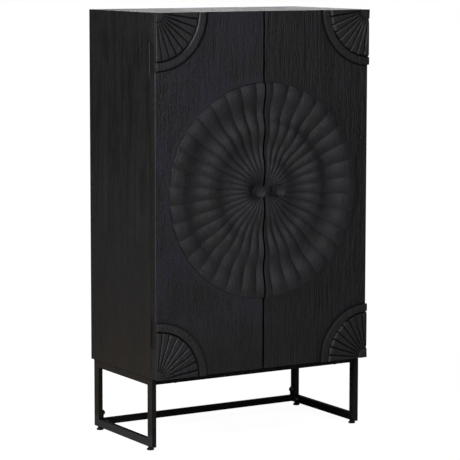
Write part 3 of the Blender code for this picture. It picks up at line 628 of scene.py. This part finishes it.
def disc_half(word, side):
    ribs = RIB_COUNT // 2
    columns = [rib + share for rib in range(ribs) for share in RIB_COLUMNS] + [ribs]
    edge = RIM_ROUND[0][1] / DISC_RADIUS
    shares = [
        INNER_SHARE + (1 - INNER_SHARE - edge) * step / RING_COUNT for step in range(RING_COUNT + 1)
    ]
    bm = bmesh.new()
    painted_shade = bm.verts.layers.float.new("painted_shade")

    def place(share, column, y, stain=0.0):
        turn = math.pi * column / ribs
        radius = share * DISC_RADIUS
        x = side * (SPLIT_X + radius * math.sin(turn))
        vert = bm.verts.new((x, y, DISC_Z + radius * math.cos(turn)))
        vert[painted_shade] = stain
        return vert

    def height(share, column):
        return disc_height(share, (column if side > 0 else RIB_COUNT - column) / RIB_COUNT)

    # The painted shade along the valleys
    def stain(share, column):
        narrow = max(0.0, 1 - abs(2 * (column % 1) - 1) * VALLEY_SHARPNESS)
        return VALLEY_SHADE * min(1, share / VALLEY_FULL_SHARE) * narrow

    rings = [[place(s, c, FACE_Y - height(s, c), stain(s, c)) for c in columns] for s in shares]
    for drop, inset in RIM_ROUND:
        rings.append([place(1 - inset / DISC_RADIUS, c, FACE_Y - height(1.0, c) + drop) for c in columns])
    back = [place(1, c, DISC_BACK_Y) for c in columns]
    middle = place(0, 0, FACE_Y - wave_height(0))
    for first, second in zip(rings[0], rings[0][1:]):
        bm.faces.new((middle, first, second))
    for inner, outer in zip(rings, rings[1:] + [back]):
        bridge(bm, inner, outer)
    bm.faces.new(back)
    split_face = [ring[0] for ring in reversed(rings)] + [middle] + [ring[-1] for ring in rings]
    bm.faces.new(split_face + [back[-1], back[0]])
    piece(f"{word}_carved_disc", bm, f"{word}_medallion", sharp=17)


# ---------------------------------------------------------------- corner fans

FAN_GROOVE = 0.0046
FAN_GROOVE_HALF = 0.0029
# A groove's half takes no more of the pitch than this, near the fan's corner
FAN_GROOVE_LIMIT = 0.36
FAN_CROWN = 0.0005
FAN_GROOVES = 8
FAN_PITCH = math.radians(10.57)
FAN_FIRST = math.pi / 4 - FAN_PITCH * (FAN_GROOVES - 1) / 2
FAN_EDGE = 0.0014
GROOVE_DEPTH_SPREAD = 0.12
# Share of the radius, share of the height, share of the grooves' depth, how dark the painted shade lies
FAN_PROFILE = (
    (0.030, 1.0, 0.0, 0.0), (0.10, 0.985, 0.0, 0.0), (0.150, 0.975, 0.0, 0.0), (0.160, 0.94, 0.0, 0.0),
    (0.166, 0.84, 0.0, 0.0), (0.172, 0.60, 0.0, 0.3), (0.178, 0.50, 0.0, 0.6), (0.186, 0.56, 0.2, 0.2),
    (0.205, 0.72, 0.45, 0.0), (0.235, 0.82, 0.65, 0.0), (0.28, 0.87, 0.8, 0.0), (0.36, 0.89, 0.92, 0.0),
    (0.46, 0.90, 1.0, 0.0), (0.57, 0.90, 1.0, 0.0), (0.69, 0.90, 1.0, 0.0), (0.780, 0.89, 1.0, 0.0),
    (0.815, 0.87, 1.0, 0.0), (0.828, 0.82, 0.9, 0.0), (0.835, 0.66, 0.6, 0.3), (0.840, 0.30, 0.1, 1.0),
    (0.848, 0.26, 0.0, 1.0), (0.851, 0.34, 0.0, 0.4), (0.857, 0.62, 0.0, 0.0), (0.863, 0.90, 0.0, 0.0),
    (0.868, 0.975, 0.0, 0.0), (0.878, 1.0, 0.0, 0.0), (0.955, 1.0, 0.0, 0.0), (0.978, 0.985, 0.0, 0.0),
    (0.990, 0.93, 0.0, 0.0), (0.997, 0.85, 0.0, 0.0), (1.0, 0.70, 0.0, 0.2), (0.998, 0.45, 0.0, 0.8),
    (0.994, 0.2, 0.0, 1.0),
)
GROOVE_STEPS = (-1.0, -0.7, -0.35, -0.1, 0.1, 0.35, 0.7, 1.0)
PETAL_STEPS = (0.15, 0.35, 0.65, 0.85)

# Where painted highlights lie: which grooves and which edge of them, up to which angle the
# petals' ends and the rim's inner wall, and how much the edge along the cabinet's side
HIGHLIT_GROOVES = {"right_top": (range(1, 8), 1), "left_bottom": (range(2, 8), -1)}
HIGHLIT_ENDS = {"right_bottom": 0.95, "right_top": 0.45}
HIGHLIT_WALLS = {"left_top": 0.85}
HIGHLIT_SIDES = {"left_top": 0.75, "left_bottom": 0.5}
# Shares of the radius where the grooves' edges start, and between which the ends and the wall lie
HIGHLIT_GROOVE_START = 0.24
PETAL_END = (0.81, 0.845)
RIM_WALL = (0.852, 0.87)


def fan_columns(radius):
    """Angle, depth in a groove, height on a petal's crown and place across a groove, across the fan."""
    half = min(FAN_GROOVE_HALF / radius, FAN_GROOVE_LIMIT * FAN_PITCH)
    end = math.pi / 2
    bevel = min(FAN_EDGE / radius, half)
    columns = [(0.0, 0.0, 0.0, 0.0)]
    start = 0.0
    for groove in range(FAN_GROOVES + 1):
        middle = FAN_FIRST + FAN_PITCH * groove
        stop = middle - half if groove < FAN_GROOVES else end - bevel
        for share in PETAL_STEPS:
            columns.append((start + (stop - start) * share, 0.0, 1 - (2 * share - 1) ** 2, 0.0))
        if groove < FAN_GROOVES:
            columns += [(middle + half * step, 1 - abs(step), 0.0, step) for step in GROOVE_STEPS]
            start = middle + half
    return columns + [(end - bevel, 0.0, 0.0, 0.0), (end - bevel / 3, 0.0, 0.0, 0.0), (end, 0.0, 0.0, 0.0)]


def fan(word, side, end, corner_z, up):
    which = f"{word}_{end}"
    node = f"{which}_fan"
    low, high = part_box(node)
    radius_all = high.z - low.z
    tall = high.y - low.y
    back_y = high.y
    corner_x = side * HALF_WIDTH
    draw = random.Random(f"{word}{end}")
    depths = [1 + draw.uniform(-GROOVE_DEPTH_SPREAD, GROOVE_DEPTH_SPREAD) for _ in range(FAN_GROOVES)]
    # The painted highlights' strength, one for each groove
    rubs = [draw.uniform(0.55, 1.0) for _ in range(FAN_GROOVES)]
    highlit_grooves, highlit_edge = HIGHLIT_GROOVES.get(which, ((), 0))
    ends_angle = HIGHLIT_ENDS.get(which, 0.0)
    wall_angle = HIGHLIT_WALLS.get(which, 0.0)
    side_highlight = HIGHLIT_SIDES.get(which, 0.0)
    bm = bmesh.new()
    painted_shade = bm.verts.layers.float.new("painted_shade")
    lightened = bm.verts.layers.float.new("lightened")

    def place(share, angle, y, depth=0.0, rub=0.0):
        radius = share * radius_all
        x = corner_x - side * radius * math.cos(angle)
        vert = bm.verts.new((x, y, corner_z + up * radius * math.sin(angle)))
        vert[painted_shade] = depth
        vert[lightened] = rub
        return vert

    def highlight_and_shade(share, angle, groove_share, groove, step, nearest, stain):
        """How strong the painted highlight is at a point, and how dark the painted shade lies there."""
        if PETAL_END[0] < share < PETAL_END[1] and groove == 0 and angle < ends_angle:
            return 1.0, 0.0
        if RIM_WALL[0] < share < RIM_WALL[1] and angle < wall_angle:
            return min(1.0, 3 * (1 - angle / wall_angle)), 0.0
        on_edge = step * highlit_edge >= 0.7 and nearest in highlit_grooves and share > HIGHLIT_GROOVE_START
        return rubs[nearest] * groove_share if on_edge else 0.0, stain

    def ring(share, height, groove_share, stain):
        columns = fan_columns(share * radius_all)
        row = []
        for index, (angle, groove, crown, step) in enumerate(columns):
            nearest = min(FAN_GROOVES - 1, max(0, round((angle - FAN_FIRST) / FAN_PITCH)))
            from_edge = len(columns) - 1 - index
            y = FACE_Y - tall * height + FAN_GROOVE * groove_share * groove * depths[nearest]
            y += FAN_CROWN * groove_share * (1 - crown) * (groove == 0)
            y += FAN_EDGE * (1.0 if from_edge == 0 else 0.25 if from_edge == 1 else 0.0) * height
            # depth and stain carry the painted shade, darkest in the grooves' bottoms
            depth = max(stain, groove_share * groove**1.5)
            # rub is the painted highlight's strength
            rub, depth = highlight_and_shade(share, angle, groove_share, groove, step, nearest, depth)
            # A painted highlight along the fan's edge at the cabinet's side
            if from_edge in (1, 2) and height > 0.5:
                rub = max(rub, side_highlight)
            row.append(place(share, angle, y, depth * (1 - rub), rub))
        return row

    centre = place(0, 0, FACE_Y - tall)
    back_centre = place(0, 0, back_y)
    rings = [ring(*row) for row in FAN_PROFILE]
    last_share = FAN_PROFILE[-1][0]
    back = [place(last_share, angle, back_y) for angle, *_ in fan_columns(last_share * radius_all)]
    for first, second in zip(rings[0], rings[0][1:]):
        bm.faces.new((centre, first, second))
    for inner, outer in zip(rings, rings[1:] + [back]):
        bridge(bm, inner, outer)
    bm.faces.new([back_centre] + back)
    for column in (0, -1):
        bm.faces.new([centre] + [row[column] for row in rings] + [back[column], back_centre])
    piece(f"{which}_carved_fan", bm, node, sharp=30)


# ---------------------------------------------------------------- doors and knobs

# Points of the slab this near its meeting edge are moved back with it
EDGE_ZONE = 0.004


def door(word, side):
    """The door's slab with its meeting edge eased back."""
    bm = solid_of(f"{word}_door")
    for vert in bm.verts:
        if abs(vert.co.x) < EDGE_X + EDGE_ZONE:
            vert.co.x += side * EASE
    piece(f"{word}_door_slab", bm, f"{word}_door", sharp=35)


# Share of the radius, share of the length from the door outwards
KNOB_PROFILE = (
    (0, 0.0), (0.45, 0.0), (0.455, 0.02), (0.45, 0.05), (0.40, 0.10), (0.36, 0.18), (0.345, 0.28),
    (0.355, 0.38), (0.41, 0.47), (0.53, 0.555), (0.68, 0.635), (0.81, 0.715), (0.90, 0.79), (0.96, 0.87),
    (0.992, 0.935), (1.0, 0.96), (0.996, 0.980), (0.983, 0.994), (0.965, 1.0), (0.94, 0.994), (0.91, 0.976),
    (0.86, 0.94), (0.80, 0.90), (0.72, 0.86), (0.62, 0.828), (0.50, 0.802), (0.37, 0.785), (0.24, 0.774),
    (0.12, 0.768), (0, 0.766),
)
# The neck and the undercut get painted shade: share of the length where it ends, and its soft edge
NECK_SHADE = 0.96
NECK_SHADE_EDGE = 0.10
# The dish gets none: within this share of the radius, beyond this share of the length
DISH_RADIUS = 0.75
DISH_START = 0.6


def knob(word):
    node = f"{word}_knob"
    low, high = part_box(node)
    middle_x, middle_z = (low.x + high.x) / 2, (low.z + high.z) / 2
    radius = (high.x - low.x) / 2
    length = high.y - low.y
    bm = bmesh.new()
    profile = [(radius * across, length * along) for across, along in KNOB_PROFILE]
    stack(bm, profile, (middle_x, high.y, middle_z), (0, -1, 0), 64)
    painted_shade = bm.verts.layers.float.new("painted_shade")
    for vert in bm.verts:
        along = (high.y - vert.co.y) / length
        across = math.hypot(vert.co.x - middle_x, vert.co.z - middle_z)
        in_dish = across < radius * DISH_RADIUS and along > DISH_START
        vert[painted_shade] = 0.0 if in_dish else min(1.0, max(0.0, (NECK_SHADE - along) / NECK_SHADE_EDGE))
    piece(f"{word}_turned_knob", bm, node, sharp=35)


# ---------------------------------------------------------------- screws, hinges and strikes

CROSS_RINGS = (0.0, 0.1, 0.2, 0.3, 0.4, 0.48, 0.52, 0.6, 0.75, 0.88, 0.96, 1.0)
CROSS_STEPS = 64
CROSS_TURN = 0.3
# The cross: half its arms' width and their reach, as shares of the radius
CROSS_HALF = 0.13
CROSS_REACH = 0.5
# A flush head's base lies this far under the face that it sits in
FLUSH_BASE = ((0, -0.0003),)


def cross_head(bm, centre, axis, radius, crown, depth, under=FLUSH_BASE):
    """A low domed screw head with a cross cut in it. under gives the rings (radius, height) below its rim."""
    centre = Vector(centre)
    turn = Vector(axis).to_track_quat("Z", "Y")
    angles = [math.tau * step / CROSS_STEPS + CROSS_TURN for step in range(CROSS_STEPS)]

    def point(reach, angle, height):
        place = Vector((reach * math.cos(angle), reach * math.sin(angle), height))
        return bm.verts.new(centre + turn @ place)

    rings = []
    for share in CROSS_RINGS:
        ring = []
        for angle in angles if share else angles[:1]:
            from_arms = share * min(abs(math.cos(angle)), abs(math.sin(angle)))
            is_cut = from_arms < CROSS_HALF and share < CROSS_REACH
            ring.append(point(share * radius, angle, crown * (1 - share**4) - (depth if is_cut else 0)))
        rings.append(ring)
    for reach, height in under:
        rings.append([point(reach, angle, height) for angle in (angles if reach else angles[:1])])
    join_rings(bm, rings, CROSS_STEPS)


# Places along a leaf, and across it from the barrel with the middle one further out
HINGE_SCREWS = (0.14, 0.5, 0.86)
HINGE_SCREW_X = 0.0045
HINGE_SCREW_STAGGER = 0.003
HINGE_SCREW_RADIUS = 0.0034
HINGE_SCREW_CROWN = 0.00016


def hinge_leaf(word, side, end, leaf):
    """The leaf with its three screws, seated nearly flush in it."""
    node = f"{word}_{end}_hinge_{leaf}_leaf"
    low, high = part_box(node)
    bm = solid_of(node)
    facing = 1 if leaf == "door" else -1
    inner_x = min(abs(low.x), abs(high.x))
    faces = (face for face in bm.faces if face.normal.y * facing > 0.99)
    face_y = max(faces, key=lambda face: face.calc_area()).verts[0].co.y
    for share in HINGE_SCREWS:
        x = side * (inner_x + HINGE_SCREW_X + HINGE_SCREW_STAGGER * (share == 0.5))
        place = (x, face_y, low.z + (high.z - low.z) * share)
        cross_head(bm, place, (0, facing, 0), HINGE_SCREW_RADIUS, HINGE_SCREW_CROWN, HINGE_SCREW_CROWN * 0.9)
    piece(f"{node}_screwed", bm, node, sharp=30)


SCREW_SEAT = 0.0003
SCREW_LENGTH = 0.030


def knob_screw(word):
    """A pan head with a cross, and the screw's shank."""
    node = f"{word}_knob_screw"
    low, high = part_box(node)
    radius = (high.x - low.x) / 2
    seat_y = DOOR_BACK_Y + SCREW_SEAT
    proud = high.y - seat_y
    rim = proud * 0.6
    under = (
        (radius, proud * 0.3 - rim), (radius * 0.93, -rim), (radius * 0.5, -rim),
        (radius * 0.5, -rim - SCREW_LENGTH), (0, -rim - SCREW_LENGTH),
    )
    centre = ((low.x + high.x) / 2, seat_y + rim, (low.z + high.z) / 2)
    bm = bmesh.new()
    cross_head(bm, centre, (0, 1, 0), radius * 0.97, proud - rim, proud * 0.6, under)
    piece(f"{node}_panhead", bm, node, sharp=30)


STRIKE_SCREWS = (0.2, 0.8)
STRIKE_SCREW_RADIUS = 0.0026
STRIKE_CORNER = 0.0025


def strike(word):
    """The steel plate that the magnet holds, with rounded corners and two flush screws."""
    node = f"{word}_strike"
    low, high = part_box(node)
    bm = solid_of(node)
    corners = [
        edge for edge in bm.edges if abs((edge.verts[0].co - edge.verts[1].co).normalized().y) > 0.99
    ]
    bmesh.ops.bevel(bm, geom=corners, offset=STRIKE_CORNER, segments=5, affect="EDGES")
    for share in STRIKE_SCREWS:
        place = (low.x + (high.x - low.x) * share, high.y, (low.z + high.z) / 2)
        cross_head(bm, place, (0, 1, 0), STRIKE_SCREW_RADIUS, 0.00012, 0.0001)
    piece(f"{node}_plate", bm, node, sharp=30)


# ---------------------------------------------------------------- stand

# The stand's tubes are a little stouter than their plain solids
STOUTER = 0.0012
LEG_RANGES = [
    (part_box(f"left_{end}_leg")[0].y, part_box(f"left_{end}_leg")[1].y) for end in ("front", "rear")
]
RAIL_RANGES = [
    (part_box(f"left_{end}_rail")[0].z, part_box(f"left_{end}_rail")[1].z) for end in ("bottom", "top")
]
PLATE_FACE_X = min(abs(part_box("left_angle_plate")[0].x), abs(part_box("left_angle_plate")[1].x))


def grown(value, ranges, tolerance=0.0004, limit=None):
    """A coordinate moved outward when it lies in one of the ranges."""
    for low, high in ranges:
        if low - tolerance <= value <= high + tolerance:
            moved = value + math.copysign(STOUTER, value - (low + high) / 2)
            return min(moved, limit) if limit else moved
    return value


def tube(node):
    low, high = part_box(node)
    bm = solid_of(node)
    in_side_loop = node.endswith(("leg", "rail")) and "cross" not in node
    for vert in bm.verts:
        x, y, z = vert.co
        if in_side_loop:
            x = grown(x, [(low.x, high.x)])
            y = grown(y, LEG_RANGES)
            z = grown(z, RAIL_RANGES, limit=BODY_Z)
        else:
            y = grown(y, [(low.y, high.y)])
            z = grown(z, [(low.z, high.z)], limit=BODY_Z)
        vert.co = (x, y, z)
    piece(f"{node}_tube", bm, node, sharp=35)


def angle_plate(word, side):
    """The plate, moved in with the face of the leg and rail that it lies against."""
    node = f"{word}_angle_plate"
    bm = solid_of(node)
    bmesh.ops.translate(bm, verts=bm.verts, vec=(-side * STOUTER, 0, 0))
    piece(f"{node}_fixing", bm, node, sharp=35)


# Share of the radius, share of the height
BOLT_HEAD = (
    (0, 0.0), (1.0, 0.0), (1.0, 0.06), (0.985, 0.16), (0.94, 0.34), (0.86, 0.54), (0.74, 0.73),
    (0.60, 0.88), (0.50, 0.96), (0.455, 0.985),
)
BOLT_SOCKET = 0.35
# The bolts' heads look larger in the photo than the plain solids
BOLT_STOUTER = 1.25


def stand_bolt(word, side, part):
    """A domed bolt with a six-sided socket, its head against the angle plate."""
    node = f"{word}_{part}"
    low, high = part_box(node)
    plate_x = side * (PLATE_FACE_X - STOUTER)
    radius = (high.z - low.z) / 2 * BOLT_STOUTER
    height = (abs(plate_x) - min(abs(low.x), abs(high.x)) + STOUTER) * BOLT_STOUTER
    profile = [(radius * across, height * along) for across, along in BOLT_HEAD]
    socket = hexagon(radius * BOLT_SOCKET)
    profile += [(socket, height), (socket, height * 0.45), (0, height * 0.40)]
    bm = bmesh.new()
    stack(bm, profile, (plate_x, (low.y + high.y) / 2, (low.z + high.z) / 2), (-side, 0, 0), 48)
    piece(f"{node}_domed", bm, node, sharp=30)


# Share of the radius, share of the pad's height
PAD_PROFILE = (
    (0, 0.0), (0.80, 0.0), (0.93, 0.05), (0.985, 0.14), (1.0, 0.24), (1.0, 0.60), (0.975, 0.68),
    (0.90, 0.73), (0.82, 0.80), (0.75, 0.90), (0.68, 1.0), (0, 1.0),
)
PAD_HEIGHT = 0.0068
PAD_GRIPS = 28
PAD_GRIP_DEPTH = 0.03
NUT_HALF_FLAT = 0.0061
NUT_HEIGHT = 0.0049
# Share of the flats' distance, share of the nut's height
NUT_PROFILE = ((0.94, 0.0), (1.0, 0.10), (1.0, 0.90), (0.94, 1.0))
STEM = 0.0040
THREAD_TURNS = 12


def foot(node):
    """Levelling foot: a pad with a gripped rim, a lock nut and a threaded stem."""
    low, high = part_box(node)
    middle = ((low.x + high.x) / 2, (low.y + high.y) / 2, 0)
    radius = (high.x - low.x) / 2 + STOUTER
    bm = bmesh.new()

    def rim(share):
        depth = PAD_GRIP_DEPTH * (share > 0.98)
        return lambda angle: radius * (share - depth * (0.5 + 0.5 * math.cos(PAD_GRIPS * angle)) ** 2)

    pad = [(rim(share) if share else 0, PAD_HEIGHT * along) for share, along in PAD_PROFILE]
    stack(bm, pad, middle, (0, 0, 1), 112)
    nut_top = PAD_HEIGHT + NUT_HEIGHT
    nut = [(hexagon(NUT_HALF_FLAT * share), PAD_HEIGHT + NUT_HEIGHT * along) for share, along in NUT_PROFILE]
    stack(bm, [(0, PAD_HEIGHT)] + nut + [(0, nut_top)], middle, (0, 0, 1), 48)
    pitch = (high.z - nut_top) / THREAD_TURNS
    thread = [
        (STEM * (0.99 if index % 2 else 0.87), nut_top + pitch * index / 2)
        for index in range(2 * THREAD_TURNS + 1)
    ]
    stack(bm, [(0, nut_top)] + thread + [(0, high.z)], middle, (0, 0, 1), 24)
    piece(f"{node}_levelling", bm, node, sharp=30)


# ---------------------------------------------------------------- all pieces

for word, side in SIDES:
    for end in ("front", "rear"):
        tube(f"{word}_{end}_leg")
    for end in ("bottom", "top"):
        tube(f"{word}_{end}_rail")
    angle_plate(word, side)
    for part in ("leg_bolt", "rail_bolt"):
        stand_bolt(word, side, part)
    for end in ("front", "rear"):
        foot(f"{word}_{end}_foot")
    for end in ("top", "bottom"):
        for leaf in ("door", "body"):
            hinge_leaf(word, side, end, leaf)
    knob_screw(word)
    strike(word)
for node in ("front_cross_rail", "rear_cross_rail", "stretcher"):
    tube(node)
for word, side in SIDES:
    door(word, side)
    disc_half(word, side)
    fan(word, side, "top", TOP_Z, -1)
    fan(word, side, "bottom", BODY_Z, 1)
    knob(word)


# ---------------------------------------------------------------- stage, light and camera

FLOOR_REACH = 30.0
# The floor's colour as light meets it, and under the camera's own rays
FLOOR_COLOUR = (0.80, 0.74, 0.68, 1)
SEEN_FLOOR_COLOUR = (0.28, 0.28, 0.28, 1)
# The seen floor's own white near the cabinet and far away, and between which distances it changes, so
# that no line shows where the floor ends
FLOOR_WHITE = (0.95, 1.0)
FLOOR_WHITE_FROM = 1.2
FLOOR_WHITE_TO = 4.0


def floor():
    bm = bmesh.new()
    corners = ((-1, -1), (1, -1), (1, 1), (-1, 1))
    bm.faces.new([bm.verts.new((x * FLOOR_REACH, y * FLOOR_REACH, 0)) for x, y in corners])
    mesh = bpy.data.meshes.new("floor")
    bm.to_mesh(mesh)
    bm.free()
    obj = bpy.data.objects.new("floor", mesh)
    bpy.context.scene.collection.objects.link(obj)
    graph = material_graph("floor")
    seen = graph.node("LightPath").outputs["Is Camera Ray"]
    distance = plane_distance(graph, (0, 0, 0), (1, 1, 1))
    white = graph.remap(distance, FLOOR_WHITE_FROM, FLOOR_WHITE_TO, *FLOOR_WHITE, "SMOOTHSTEP")
    graph.shader.inputs["Roughness"].default_value = 0.9
    graph.shader.inputs["Specular IOR Level"].default_value = 0.0
    material = graph.out(
        Base_Color=graph.mix(seen, FLOOR_COLOUR, SEEN_FLOOR_COLOUR), Emission_Color=(1, 1, 1, 1),
        Emission_Strength=graph.times(seen, white),
    )
    mesh.materials.append(material)


WORLD_LEVEL = 0.06
# The white backdrop stands behind the cabinet: its direction, and the angles between which it ends
BACKDROP_LEVEL = 1.3
BACKDROP_TURN = math.radians(31)
BACKDROP_INNER = math.radians(18)
BACKDROP_OUTER = math.radians(48)


def world():
    """Dim all round. White for the camera, and for reflections only where the backdrop stands."""
    scene_world = bpy.data.worlds.new("studio")
    bpy.context.scene.world = scene_world
    graph = Graph(scene_world)
    direction = graph.node("TexCoord").outputs["Generated"]
    backdrop = (math.sin(BACKDROP_TURN), math.cos(BACKDROP_TURN), 0)
    aim = graph.node("VectorMath", "DOT_PRODUCT", _0=direction, _1=backdrop).outputs["Value"]
    toward = graph.rise(aim, math.cos(BACKDROP_OUTER), math.cos(BACKDROP_INNER))
    path = graph.node("LightPath").outputs
    reflected = graph.math("MAXIMUM", path["Is Glossy Ray"], path["Is Transmission Ray"])
    level = graph.times(graph.times(reflected, toward), BACKDROP_LEVEL - WORLD_LEVEL)
    level = graph.math("ADD", level, WORLD_LEVEL)
    level = graph.math("MAXIMUM", level, path["Is Camera Ray"])
    graph.out(Color=(1, 1, 1, 1), Strength=level)


LAMP_AIM = Vector((0, 0, 0.72))


def lamp(name, turn, lift, distance, size, energy):
    """A soft square lamp. turn is degrees to the left of straight in front, lift degrees up."""
    data = bpy.data.lights.new(name, "AREA")
    data.shape = "SQUARE"
    data.size = size
    data.energy = energy
    obj = bpy.data.objects.new(name, data)
    bpy.context.scene.collection.objects.link(obj)
    turn, lift = math.radians(turn), math.radians(lift)
    flat = math.cos(lift)
    away = Vector((-math.sin(turn) * flat, -math.cos(turn) * flat, math.sin(lift)))
    obj.location = LAMP_AIM + away * distance
    obj.rotation_euler = (-away).to_track_quat("-Z", "Y").to_euler()
    obj.visible_camera = False


# Found by fitting the photo's straight edges
CAMERA_PLACE = (-3.472933, -5.718939, 1.484975)
CAMERA_PITCH = -6.739958
CAMERA_ROLL = -0.084085
CAMERA_YAW = -31.22633
CAMERA_LENS = 170.826374
CAMERA_SHIFT = -0.05


def camera():
    data = bpy.data.cameras.new("camera")
    data.sensor_fit = "HORIZONTAL"
    data.sensor_width = 36.0
    data.lens = CAMERA_LENS
    data.shift_y = CAMERA_SHIFT
    data.clip_end = 200.0
    obj = bpy.data.objects.new("camera", data)
    bpy.context.scene.collection.objects.link(obj)
    obj.location = CAMERA_PLACE
    angles = (90 + CAMERA_PITCH, CAMERA_ROLL, CAMERA_YAW)
    obj.rotation_euler = Euler([math.radians(angle) for angle in angles], "XYZ")
    bpy.context.scene.camera = obj


floor()
world()
lamp("left", 70, 30, 2.56, 1.4, 33)
lamp("front", -2, 14, 3.0, 2.2, 21)
lamp("rear", -140, 30, 3.2, 2.0, 14)
camera()
bpy.context.scene.view_settings.view_transform = "Standard"
